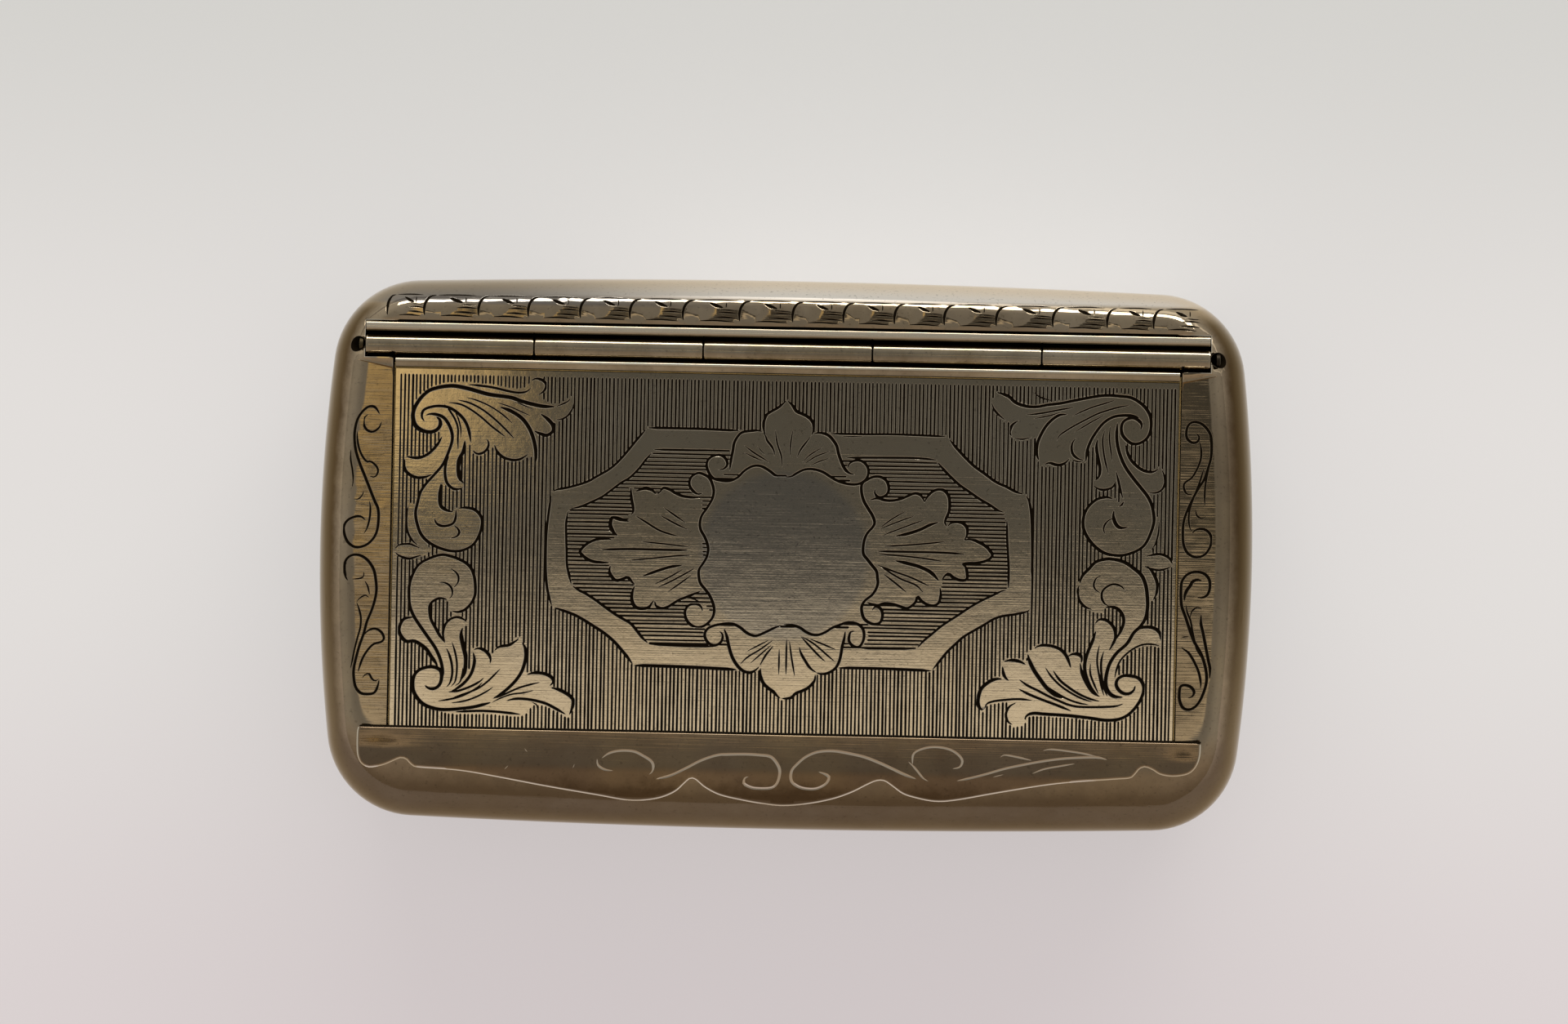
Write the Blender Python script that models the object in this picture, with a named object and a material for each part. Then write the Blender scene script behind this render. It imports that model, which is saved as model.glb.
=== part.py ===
"""A silver snuff box lying on its base with the lid up.

Metres, +Z up. The long side runs along X, the hinge lies towards +Y and the thumbpiece towards -Y.
The origin is at the middle of the base. The case is two raised shells soldered at mid height, and
the lid turns on a pin through five tubes, three of the case and two of the lid.
"""

import math
from typing import NamedTuple

import bmesh
import bpy
from mathutils import Matrix, Vector
from mathutils.geometry import intersect_sphere_sphere_2d

# Case seen from above
CASE_LENGTH = 0.0850
CASE_DEPTH = 0.0500
END_BOW_RADIUS = 0.1470
SIDE_BOW_RADIUS = 1.0000
SEAM_CORNER_RADIUS = 0.0080
TOP_CORNER_RADIUS = 0.0032
BASE_CORNER_RADIUS = 0.0040

# Case seen from the end: the roll is how far the wall bulges past the flat it starts from
SEAM_HEIGHT = 0.00875
FLAT_HEIGHT = 0.0165
RIM_RISE = 0.0005
END_ROLL = 0.0043
FRONT_ROLL = 0.0090
INSIDE_FRONT_ROLL = 0.0070
REAR_ROLL = 0.0027
BASE_END_ROLL = 0.0050
BASE_SIDE_ROLL = 0.0060
SHEET = 0.0007
SOLDER_GAP = 0.0001

# Hinge
HINGE_INSET = 0.00655
HINGE_DROP = 0.00045
TUBE_RADIUS = 0.00095
TUBE_BORE_RADIUS = 0.00050
PIN_RADIUS = 0.00040
TUBE_END_GAP = 0.00012
BARREL_OVERRUN = 0.00280
TUBE_CLEARANCE = 0.00030
BEARER_FLOOR = 0.00045
BEARER_WALL = 0.00095
CHEEK_LENGTH = 0.0009
PLUG_RADIUS = 0.00055
PLUG_CLEARANCE = 0.00010
PLUG_LENGTH = 0.0004
LEFT_PLUG_SINK = 0.00035
RIGHT_PLUG_SINK = 0.00005

# Lid
LID_END_MARGIN = 0.00705
LID_FRONT_MARGIN = 0.00750
LID_SHEET = 0.0008
LID_CLEARANCE = 0.00015
LID_RIB_WIDTH = 0.00095
LID_HINGE_GAP = 0.00020
BEZEL_SHEET = 0.0006
BEZEL_DEPTH = 0.0024
BEZEL_CLEARANCE = 0.00025
LEDGE_WIDTH = 0.0012
LEDGE_LAP = 0.00035
LEDGE_SHEET = 0.0007
LEDGE_REAR_SETBACK = 0.00010
RAMP_LENGTH = 0.0011

# Thumbpiece
THUMB_OVERRUN = 0.00285
THUMB_LAP = 0.0015
THUMB_DEPTH = 0.0067
THUMB_SHEET = 0.0008
THUMB_GAP = 0.00020

# Room by which every cutter passes the metal it cuts
CUT_OVERRUN = 0.0010

# Lower edge of the thumbpiece from its middle to its right end, as shares of its half length and of
# its depth. Each lobe is a smooth curve through its own points and meets the next in a sharp notch.
THUMB_LOBE_SHARES = (
    ((0.000, 1.000), (0.085, 0.965), (0.165, 0.835), (0.225, 0.635)),
    ((0.225, 0.635), (0.260, 0.830), (0.363, 0.955), (0.587, 0.715), (0.845, 0.545), (0.872, 0.410)),
    ((0.872, 0.410), (0.905, 0.500), (0.955, 0.550), (1.000, 0.330), (1.000, 0.000)),
)

ARC_STEPS_END = 3
ARC_STEPS_CORNER = 7
ARC_STEPS_SIDE = 4
DOME_RINGS = 9
ROUND_SIDES = 20
LOBE_STEPS = 3
QUARTER_TURN = math.pi / 2

HINGE_Y = CASE_DEPTH / 2 - HINGE_INSET
HINGE_Z = FLAT_HEIGHT - HINGE_DROP
RIM_HEIGHT = FLAT_HEIGHT + RIM_RISE
LID_HALF = CASE_LENGTH / 2 - LID_END_MARGIN
LID_FRONT_Y = LID_FRONT_MARGIN - CASE_DEPTH / 2
BARREL_HALF = LID_HALF + BARREL_OVERRUN
TROUGH_FRONT_Y = HINGE_Y - TUBE_RADIUS - LID_HINGE_GAP
TROUGH_REAR_Y = HINGE_Y + TUBE_RADIUS + TUBE_CLEARANCE + BEARER_WALL
CHEEK_BOTTOM = HINGE_Z - TUBE_RADIUS - TUBE_CLEARANCE - BEARER_FLOOR
LEDGE_TOP = FLAT_HEIGHT - max(SHEET, LID_SHEET) - SOLDER_GAP
LEDGE_REAR = TROUGH_FRONT_Y - LEDGE_REAR_SETBACK - LEDGE_WIDTH


class Dome(NamedTuple):
    """The rounded outer form of one half of the case, from its flat to the seam."""

    flat_height: float
    end_roll: float
    front_roll: float
    rear_roll: float
    flat_corner: float


class Box(NamedTuple):
    """A block between two planes on each axis."""

    left: float
    right: float
    front: float
    rear: float
    bottom: float
    top: float


TOP_DOME = Dome(RIM_HEIGHT, END_ROLL, FRONT_ROLL, REAR_ROLL, TOP_CORNER_RADIUS)
INSIDE_DOME = Dome(FLAT_HEIGHT, END_ROLL, INSIDE_FRONT_ROLL, REAR_ROLL, TOP_CORNER_RADIUS)
BASE_DOME = Dome(0, BASE_END_ROLL, BASE_SIDE_ROLL, BASE_SIDE_ROLL, BASE_CORNER_RADIUS)

SILVER = ((0.62, 0.57, 0.48), 0.28)
SILVER_WORN = ((0.74, 0.70, 0.61), 0.22)
SILVER_DULL = ((0.50, 0.43, 0.33), 0.36)
SILVER_GILT = ((0.80, 0.62, 0.30), 0.30)


def clear_scene():
    """Removes every object that is already in the scene."""
    for obj in list(bpy.data.objects):
        bpy.data.objects.remove(obj, do_unlink=True)


def metal(name, finish):
    """A metal of one colour and roughness for one piece."""
    colour, roughness = finish
    material = bpy.data.materials.new(name + "_metal")
    material.use_nodes = True
    shader = material.node_tree.nodes["Principled BSDF"]
    shader.inputs["Base Color"].default_value = (*colour, 1)
    shader.inputs["Metallic"].default_value = 1
    shader.inputs["Roughness"].default_value = roughness
    return material


def add_object(name, mesh, finish=None, parent=None):
    """Links a mesh as a named object. A mesh without a finish is a cutter and stays out of the model."""
    obj = bpy.data.objects.new(name, mesh)
    bpy.context.collection.objects.link(obj)
    if finish is None:
        obj.hide_render = True
        obj.display_type = "WIRE"
    else:
        mesh.materials.append(metal(name, finish))
    if parent is not None:
        mesh.transform(Matrix.Translation(-parent.location))
        obj.parent = parent
    return obj


def mesh_from(name, shape):
    """Turns a bmesh into a mesh with its faces pointing out."""
    bmesh.ops.recalc_face_normals(shape, faces=shape.faces)
    mesh = bpy.data.meshes.new(name)
    shape.to_mesh(mesh)
    shape.free()
    return mesh


def loft_mesh(name, rings):
    """A closed mesh through rings of the same number of points, capped at both ends."""
    shape = bmesh.new()
    rows = [[shape.verts.new(point) for point in ring] for ring in rings]
    for lower, upper in zip(rows, rows[1:]):
        for i, vertex in enumerate(lower):
            shape.faces.new((lower[i - 1], vertex, upper[i], upper[i - 1]))
    shape.faces.new(rows[0])
    shape.faces.new(rows[-1])
    return mesh_from(name, shape)


def box_mesh(name, box):
    """A block."""
    corners = (
        (box.left, box.front),
        (box.right, box.front),
        (box.right, box.rear),
        (box.left, box.rear),
    )
    return loft_mesh(name, [[(x, y, z) for x, y in corners] for z in (box.bottom, box.top)])


def bar_mesh(name, section, half_length):
    """A bar along X whose cross-section is a list of (y, z)."""
    return loft_mesh(name, [[(x, y, z) for y, z in section] for x in (-half_length, half_length)])


def circle(x, radius):
    """A ring of points round the hinge axis at one place along it."""
    turns = (2 * math.pi * i / ROUND_SIDES for i in range(ROUND_SIDES))
    return [(x, HINGE_Y + radius * math.cos(t), HINGE_Z + radius * math.sin(t)) for t in turns]


def rod_mesh(name, radius, left, right):
    """A round rod on the hinge axis."""
    return loft_mesh(name, [circle(left, radius), circle(right, radius)])


def cut(obj, name, mesh, operation="DIFFERENCE"):
    """Cuts an object with a mesh, which becomes a hidden helper object, and returns that helper."""
    cutter = add_object(name, mesh)
    modifier = obj.modifiers.new(name, "BOOLEAN")
    modifier.operation = operation
    modifier.object = cutter
    return cutter


def arc(centre, radius, start, stop, steps):
    """Points along a circular arc in the plan, without its last point."""
    angles = (start + (stop - start) * i / steps for i in range(steps))
    return [(centre.x + radius * math.cos(a), centre.y + radius * math.sin(a)) for a in angles]


def plan_quarter(half_length, half_depth, corner):
    """A quarter of the plan outline from the middle of an end to the middle of a long side."""
    end_centre = Vector((half_length - END_BOW_RADIUS, 0))
    side_centre = Vector((0, half_depth - SIDE_BOW_RADIUS))
    meets = intersect_sphere_sphere_2d(
        end_centre, END_BOW_RADIUS - corner, side_centre, SIDE_BOW_RADIUS - corner
    )
    corner_centre = max(meets, key=sum)
    end_turn = math.atan2(*reversed(corner_centre - end_centre))
    side_turn = math.atan2(*reversed(corner_centre - side_centre))
    points = arc(end_centre, END_BOW_RADIUS, 0, end_turn, ARC_STEPS_END)
    points += arc(corner_centre, corner, end_turn, side_turn, ARC_STEPS_CORNER)
    points += arc(side_centre, SIDE_BOW_RADIUS, side_turn, QUARTER_TURN, ARC_STEPS_SIDE)
    return points + [(0, half_depth)]


def plan_outline(half_length, front, rear, corner):
    """The closed plan outline: bowed ends and sides joined by tangent corner arcs."""
    rear_right = plan_quarter(half_length, rear, corner)
    front_right = [(x, -y) for x, y in reversed(plan_quarter(half_length, front, corner))]
    right = front_right[:-1] + rear_right
    left = [(-x, y) for x, y in reversed(right[1:-1])]
    return right + left


def dome_ring(dome, turn, inset):
    """One level ring of a dome. The turn runs from zero at the flat to a quarter turn at the seam."""
    draw_in = 1 - math.sin(turn)
    flat = dome.flat_height + math.copysign(inset, SEAM_HEIGHT - dome.flat_height)
    height = SEAM_HEIGHT + (flat - SEAM_HEIGHT) * math.cos(turn)
    corner = SEAM_CORNER_RADIUS + (dome.flat_corner - SEAM_CORNER_RADIUS) * draw_in
    outline = plan_outline(
        CASE_LENGTH / 2 - inset - dome.end_roll * draw_in,
        CASE_DEPTH / 2 - inset - dome.front_roll * draw_in,
        CASE_DEPTH / 2 - inset - dome.rear_roll * draw_in,
        corner - inset,
    )
    return [(x, y, height) for x, y in outline]


def dome_mesh(name, dome, inset, past_seam):
    """A solid dome from its flat to the seam, or to a plane past it."""
    turns = [QUARTER_TURN * i / (DOME_RINGS - 1) for i in range(DOME_RINGS)]
    rings = [dome_ring(dome, turn, inset) for turn in turns]
    last = SEAM_HEIGHT - math.copysign(past_seam, dome.flat_height - SEAM_HEIGHT)
    if past_seam:
        rings.append([(x, y, last) for x, y, _ in rings[-1]])
    return loft_mesh(name, rings)


def front_wall_height(y):
    """Height of the outer surface of the upper shell in front, at the middle of the box."""
    reach = 1 - (CASE_DEPTH / 2 + y) / FRONT_ROLL
    rise = math.sqrt(max(0, 1 - max(0, reach) ** 2))
    return min(FLAT_HEIGHT, SEAM_HEIGHT + (RIM_HEIGHT - SEAM_HEIGHT) * rise)


def smooth_curve(points, steps):
    """Points on a smooth curve through the given points, which it passes one after the other."""
    padded = [points[0], *points, points[-1]]
    curve = []
    for before, start, stop, after in zip(padded, padded[1:], padded[2:], padded[3:]):
        for i in range(steps):
            t = i / steps
            blend = (
                -t * (1 - t) ** 2 / 2,
                1 - t * t * (5 - 3 * t) / 2,
                t * (1 + 4 * t - 3 * t * t) / 2,
                -t * t * (1 - t) / 2,
            )
            corners = zip(before, start, stop, after)
            curve.append(tuple(sum(b * c for b, c in zip(blend, axis)) for axis in corners))
    return curve + [points[-1]]


def upper_case():
    """The upper shell: end strips, rear shoulder, hinge cheeks, and the opening that the lid closes."""
    case = add_object("upper_case", dome_mesh("upper_case", TOP_DOME, 0, 0), SILVER)
    inside = cut(case, "upper_inside", dome_mesh("upper_inside", INSIDE_DOME, SHEET, CUT_OVERRUN))
    for side in (-1, 1):
        ends = sorted((side * (BARREL_HALF - CUT_OVERRUN), side * CASE_LENGTH / 2))
        cheek = Box(*ends, TROUGH_FRONT_Y - SHEET, TROUGH_REAR_Y + SHEET, CHEEK_BOTTOM, RIM_HEIGHT)
        cut(inside, "cheek_keeper", box_mesh("cheek_keeper", cheek))
    foot = TROUGH_FRONT_Y - RAMP_LENGTH
    top = RIM_HEIGHT + CUT_OVERRUN
    lowering = [
        (-CASE_DEPTH / 2, FLAT_HEIGHT),
        (foot, FLAT_HEIGHT),
        (TROUGH_FRONT_Y, RIM_HEIGHT),
        (TROUGH_FRONT_Y, top),
        (-CASE_DEPTH / 2, top),
    ]
    cut(case, "flat_cutter", bar_mesh("flat_cutter", lowering, CASE_LENGTH / 2))
    half = LID_HALF + LID_CLEARANCE
    opening = Box(-half, half, LID_FRONT_Y - LID_CLEARANCE, TROUGH_REAR_Y, SEAM_HEIGHT, top)
    cut(case, "lid_opening", box_mesh("lid_opening", opening))
    trough = Box(-BARREL_HALF, BARREL_HALF, TROUGH_FRONT_Y, TROUGH_REAR_Y, SEAM_HEIGHT, top)
    cut(case, "hinge_trough", box_mesh("hinge_trough", trough))
    for side in (-1, 1):
        ends = sorted((side * (BARREL_HALF - CUT_OVERRUN), side * (CASE_LENGTH / 2 + CUT_OVERRUN)))
        bore = rod_mesh("plug_bore", PLUG_RADIUS + PLUG_CLEARANCE, *ends)
        cut(case, "plug_bore", bore)
    return case


def lower_case():
    """The lower shell with the flat base, closed up to just under the seam."""
    case = add_object("lower_case", dome_mesh("lower_case", BASE_DOME, 0, 0), SILVER_DULL)
    cut(case, "lower_inside", dome_mesh("lower_inside", BASE_DOME, SHEET, CUT_OVERRUN))
    edge = CASE_LENGTH / 2 + CUT_OVERRUN
    seam = Box(-edge, edge, -edge, edge, SEAM_HEIGHT - SOLDER_GAP, SEAM_HEIGHT + CUT_OVERRUN)
    cut(case, "seam_cutter", box_mesh("seam_cutter", seam))
    return case


def frame_piece(name, inner, width, bottom, top, finish, parent=None):
    """A flat rectangular frame. The inner edges are (half length, front, rear)."""
    half, front, rear = inner
    outer = Box(-half - width, half + width, front - width, rear + width, bottom, top)
    frame = add_object(name, box_mesh(name, outer), finish, parent)
    window = Box(-half, half, front, rear, bottom - CUT_OVERRUN, top + CUT_OVERRUN)
    cut(frame, name + "_window", box_mesh(name + "_window", window))
    return frame


def aperture_ledge():
    """The ledge inside the opening, on which the closed lid rests."""
    inner = (LID_HALF - LEDGE_LAP, LID_FRONT_Y + LEDGE_LAP, LEDGE_REAR)
    bottom = LEDGE_TOP - LEDGE_SHEET
    ledge = frame_piece("aperture_ledge", inner, LEDGE_WIDTH, bottom, LEDGE_TOP, SILVER_GILT)
    inside = dome_mesh("ledge_trim", INSIDE_DOME, SHEET + SOLDER_GAP, CUT_OVERRUN)
    cut(ledge, "ledge_trim", inside, "INTERSECT")
    return ledge


def hinge_bearer():
    """The channel under the tubes. Its rear wall ends in the rib behind the hinge."""
    front = TROUGH_FRONT_Y + SOLDER_GAP
    rear = TROUGH_REAR_Y - SOLDER_GAP
    wall = HINGE_Y + TUBE_RADIUS + TUBE_CLEARANCE
    floor = HINGE_Z - TUBE_RADIUS - TUBE_CLEARANCE
    width = rear - wall
    section = [
        (front, floor - BEARER_FLOOR),
        (rear, floor - BEARER_FLOOR),
        (rear, RIM_HEIGHT - width / 4),
        (rear - width / 3, RIM_HEIGHT),
        (wall + width / 3, RIM_HEIGHT),
        (wall, RIM_HEIGHT - width / 3),
        (wall, floor),
        (front, floor),
    ]
    half = BARREL_HALF - SOLDER_GAP
    return add_object("hinge_bearer", bar_mesh("hinge_bearer", section, half), SILVER_WORN)


def hinge_tubes(lid):
    """The five hinge tubes, from the left: case, lid, case, lid, case."""
    names = (
        "left_case_tube",
        "left_lid_tube",
        "middle_case_tube",
        "right_lid_tube",
        "right_case_tube",
    )
    pitch = 2 * BARREL_HALF / len(names)
    for i, name in enumerate(names):
        left = pitch * i - BARREL_HALF + TUBE_END_GAP / 2
        right = left + pitch - TUBE_END_GAP
        tube = rod_mesh(name, TUBE_RADIUS, left, right)
        obj = add_object(name, tube, SILVER_WORN, lid if "lid" in name else None)
        bore = rod_mesh(name, TUBE_BORE_RADIUS, left - CUT_OVERRUN, right + CUT_OVERRUN)
        cut(obj, name + "_bore", bore)


def hinge_pin():
    """The pin through all five tubes, which ends short of the plugs."""
    half = BARREL_HALF - TUBE_END_GAP
    return add_object("hinge_pin", rod_mesh("hinge_pin", PIN_RADIUS, -half, half), SILVER_DULL)


def pin_plugs():
    """The two plugs that close the pin's bore. The left one has sunk into the cheek."""
    for name, side, sink in (
        ("left_pin_plug", -1, LEFT_PLUG_SINK),
        ("right_pin_plug", 1, RIGHT_PLUG_SINK),
    ):
        face = BARREL_HALF + CHEEK_LENGTH - sink
        ends = sorted((side * face, side * (face - PLUG_LENGTH)))
        add_object(name, rod_mesh(name, PLUG_RADIUS, *ends), SILVER_DULL)


def lid_plate(lid):
    """The engraved plate of the lid."""
    rib_front = TROUGH_FRONT_Y - LID_RIB_WIDTH
    plate = Box(
        -LID_HALF, LID_HALF, LID_FRONT_Y, rib_front, FLAT_HEIGHT - LID_SHEET, FLAT_HEIGHT
    )
    return add_object("lid_plate", box_mesh("lid_plate", plate), SILVER_WORN, lid)


def lid_rib(lid):
    """The raised strip along the lid's rear edge, which carries the lid's two tubes."""
    front = TROUGH_FRONT_Y - LID_RIB_WIDTH + SOLDER_GAP
    section = [
        (front, FLAT_HEIGHT - LID_SHEET),
        (TROUGH_FRONT_Y, FLAT_HEIGHT - LID_SHEET),
        (TROUGH_FRONT_Y, RIM_HEIGHT - LID_RIB_WIDTH / 5),
        (TROUGH_FRONT_Y - LID_RIB_WIDTH / 4, RIM_HEIGHT),
        (front, FLAT_HEIGHT + RIM_RISE / 4),
    ]
    return add_object("lid_rib", bar_mesh("lid_rib", section, LID_HALF), SILVER_WORN, lid)


def lid_bezel(lid):
    """The flange under the lid, which drops inside the ledge and keeps the lid in place."""
    room = BEZEL_CLEARANCE + BEZEL_SHEET
    inner = (LID_HALF - LEDGE_LAP - room, LID_FRONT_Y + LEDGE_LAP + room, LEDGE_REAR - room)
    top = FLAT_HEIGHT - LID_SHEET - SOLDER_GAP
    return frame_piece("lid_bezel", inner, BEZEL_SHEET, top - BEZEL_DEPTH, top, SILVER_GILT, lid)


def thumb_outline():
    """The scalloped plan outline of the thumbpiece."""
    half = LID_HALF + THUMB_OVERRUN
    rear = LID_FRONT_Y + THUMB_LAP
    right = []
    for lobe in THUMB_LOBE_SHARES:
        curve = smooth_curve(lobe, LOBE_STEPS)
        right += [(x * half, rear - depth * THUMB_DEPTH) for x, depth in curve[:-1]]
    right.append((half, rear))
    left = [(-x, y) for x, y in reversed(right[1:])]
    return left + right


def thumb_section():
    """The bent cross-section of the thumbpiece, which lies over the lid and down the front wall."""
    rear = LID_FRONT_Y + THUMB_LAP + CUT_OVERRUN
    tip = LID_FRONT_Y + THUMB_LAP - THUMB_DEPTH - THUMB_SHEET
    steps = DOME_RINGS
    places = [rear + (tip - rear) * i / steps for i in range(steps + 1)]
    path = [Vector((y, front_wall_height(y))) for y in places]
    under, over = [], []
    for before, here, after in zip([path[0], *path], path, [*path[1:], path[-1]]):
        along = (after - before).normalized()
        out = Vector((along.y, -along.x))
        under.append(here + out * THUMB_GAP)
        over.append(here + out * (THUMB_GAP + THUMB_SHEET))
    return under + over[::-1]


def thumbpiece(lid):
    """The lip along the front of the lid, by which it is lifted."""
    half = LID_HALF + THUMB_OVERRUN + CUT_OVERRUN
    piece = add_object("thumbpiece", bar_mesh("thumbpiece", thumb_section(), half), SILVER, lid)
    outline = thumb_outline()
    heights = (SEAM_HEIGHT, RIM_HEIGHT + THUMB_SHEET + CUT_OVERRUN)
    prism = loft_mesh("thumb_outline", [[(x, y, z) for x, y in outline] for z in heights])
    cut(piece, "thumb_outline", prism, "INTERSECT")
    return piece


def main():
    clear_scene()
    lid = bpy.data.objects.new("lid_hinge_axis", None)
    lid.location = (0, HINGE_Y, HINGE_Z)
    bpy.context.collection.objects.link(lid)
    lower_case()
    upper_case()
    aperture_ledge()
    hinge_bearer()
    hinge_tubes(lid)
    hinge_pin()
    pin_plugs()
    lid_plate(lid)
    lid_rib(lid)
    lid_bezel(lid)
    thumbpiece(lid)


main()
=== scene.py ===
"""The looks of an engraved silver snuff box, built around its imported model.

Lengths here are in millimetres unless a name says otherwise, and a mesh becomes metres when its
object is made. The long side of the box runs along X, the hinge lies towards +Y, the thumbpiece
towards -Y, and the origin is at the middle of the base.
"""

import logging
import math
import random
from collections.abc import Callable, Iterable, Sequence
from dataclasses import dataclass, field, replace
from enum import Enum

import bmesh
import bpy
import numpy as np
from mathutils import Matrix, Vector, kdtree
from mathutils.geometry import delaunay_2d_cdt


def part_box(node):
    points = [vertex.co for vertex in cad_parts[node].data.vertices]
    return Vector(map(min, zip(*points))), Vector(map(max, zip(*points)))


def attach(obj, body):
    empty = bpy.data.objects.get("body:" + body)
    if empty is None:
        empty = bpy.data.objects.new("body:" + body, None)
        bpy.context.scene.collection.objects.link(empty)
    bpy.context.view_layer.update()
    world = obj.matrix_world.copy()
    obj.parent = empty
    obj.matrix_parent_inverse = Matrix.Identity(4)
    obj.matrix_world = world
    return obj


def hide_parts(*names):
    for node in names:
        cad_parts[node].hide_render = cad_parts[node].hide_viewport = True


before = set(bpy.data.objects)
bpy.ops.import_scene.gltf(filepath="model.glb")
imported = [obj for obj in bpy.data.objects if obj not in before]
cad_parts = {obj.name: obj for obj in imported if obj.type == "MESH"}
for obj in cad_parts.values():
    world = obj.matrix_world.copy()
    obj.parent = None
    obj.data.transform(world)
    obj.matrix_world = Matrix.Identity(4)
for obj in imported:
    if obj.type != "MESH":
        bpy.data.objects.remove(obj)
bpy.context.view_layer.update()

LOG = logging.getLogger("snuff_box")
MM = 0.001
QUARTER_TURN = math.pi / 2
WELD_DISTANCE = 1e-4
CURVE_STEPS = 14
DISC_SIDES = 14
CUT_FROM = 0.02
TINY = 1e-9

Point = tuple[float, float]
Points = np.ndarray
Values = np.ndarray | float
Colour = tuple[float, float, float]
Height = Callable[[Points], np.ndarray]
Socket = bpy.types.NodeSocket


class Slot(Enum):
    """The record's material slots."""

    TARNISHED = "tarnished_silver"
    RUBBED = "rubbed_silver"
    GILT = "gilt_silver"
    PIN = "pin_metal"


class Body(Enum):
    """The two bodies that the hinge joins."""

    CASE = "case"
    LID = "lid"


class Axis(Enum):
    """The axes, by their place in a vector."""

    X = 0
    Y = 1
    Z = 2


Limits = tuple[tuple[Axis, float, float], ...]


class Face(Enum):
    """Which finish a face takes: the outside of a piece or its inside."""

    OUTSIDE = 0
    INSIDE = 1


def node_box(node: str) -> tuple[np.ndarray, np.ndarray]:
    """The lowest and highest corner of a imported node.

    Args:
        node: The node's name.

    Returns:
        Both corners in millimetres.
    """
    low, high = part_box(node)
    return np.array(low) / MM, np.array(high) / MM


class Shape:
    """Collects points and faces in millimetres and welds them into one object."""

    def __init__(self) -> None:
        """Starts an empty shape."""
        self.points: list[np.ndarray] = []
        self.grooves: list[np.ndarray] = []
        self.faces: list[tuple[int, ...]] = []
        self.sides: list[int] = []
        self.count = 0

    def add(
        self,
        points: Points,
        faces: Iterable[Sequence[int]],
        side: Face = Face.OUTSIDE,
        groove: np.ndarray | None = None,
    ) -> None:
        """Adds a patch of faces.

        Args:
            points: The patch's points.
            faces: Its faces, as indices into the points.
            side: Which finish the faces take.
            groove: How deep each point lies in a cut, from 0 to 1, where it takes the dark cut colour,
                which also paints shade into gaps; or below 0 where it is painted bright, as wear and as a
                highlight.
        """
        base = self.count
        added = [tuple(int(i) + base for i in face) for face in faces]
        self.points.append(np.asarray(points, float))
        self.grooves.append(np.zeros(len(points)) if groove is None else groove)
        self.faces += added
        self.sides += [side.value] * len(added)
        self.count += len(points)

    def loft(
        self, rings: Sequence[Points], side: Face = Face.OUTSIDE, groove: float | np.ndarray = 0.0
    ) -> None:
        """Joins closed rings of the same number of points by quads.

        Args:
            rings: The rings, one after the other.
            side: Which finish the faces take.
            groove: The groove value, as one number, a row for each ring's points or a column for the rings.
        """
        width = len(rings[0])
        faces = []
        for low in range(0, (len(rings) - 1) * width, width):
            for i in range(width):
                after = (i + 1) % width
                faces.append((low + i, low + after, low + width + after, low + width + i))
        self.add(np.vstack(rings), faces, side, np.broadcast_to(groove, (len(rings), width)).ravel())

    def cap(self, ring: Points, side: Face = Face.OUTSIDE) -> None:
        """Closes a flat ring with one face.

        Args:
            ring: The ring's points.
            side: Which finish the face takes.
        """
        self.add(ring, [range(len(ring))], side)

    def build(self, name: str, sharp_degrees: float = 32) -> bpy.types.Object:
        """Welds what was collected and links it as an object.

        Args:
            name: The piece's name.
            sharp_degrees: The angle from which an edge stays sharp.

        Returns:
            The new object, without a material.
        """
        points = np.vstack(self.points)
        rounded = np.round(points / WELD_DISTANCE).astype(np.int64)
        _, first, index = np.unique(rounded, axis=0, return_index=True, return_inverse=True)
        index = index.reshape(-1)
        faces, sides = [], []
        for face, side in zip(self.faces, self.sides):
            corners = list(dict.fromkeys(int(index[i]) for i in face))
            if len(corners) > 2:
                faces.append(corners)
                sides.append(side)
        mesh = bpy.data.meshes.new(name)
        mesh.from_pydata((points[first] * MM).tolist(), [], faces)
        mesh.polygons.foreach_set("material_index", sides)
        groove = mesh.attributes.new("groove", "FLOAT", "POINT")
        groove.data.foreach_set("value", np.concatenate(self.grooves)[first].astype(np.float32))
        shape = bmesh.new()
        shape.from_mesh(mesh)
        bmesh.ops.recalc_face_normals(shape, faces=shape.faces)
        shape.to_mesh(mesh)
        shape.free()
        mesh.shade_smooth()
        mesh.set_sharp_from_angle(angle=math.radians(sharp_degrees))
        self.sharpen_cuts(mesh)
        obj = bpy.data.objects.new(name, mesh)
        bpy.context.scene.collection.objects.link(obj)
        return obj

    @staticmethod
    def sharpen_cuts(mesh: bpy.types.Mesh) -> None:
        """Keeps the shading of the surface apart from that of the cuts in it.

        Args:
            mesh: The mesh, with its cuts marked by the groove attribute.
        """
        depth = np.zeros(len(mesh.vertices), np.float32)
        mesh.attributes["groove"].data.foreach_get("value", depth)
        cut = depth > CUT_FROM
        if not cut.any():
            return
        sides: dict[tuple[int, int], set[bool]] = {}
        for polygon in mesh.polygons:
            deep = bool(cut[list(polygon.vertices)].any())
            for pair in polygon.edge_keys:
                sides.setdefault(pair, set()).add(deep)
        for edge in mesh.edges:
            if len(sides.get(edge.key, ())) == 2:
                edge.use_edge_sharp = True


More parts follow.
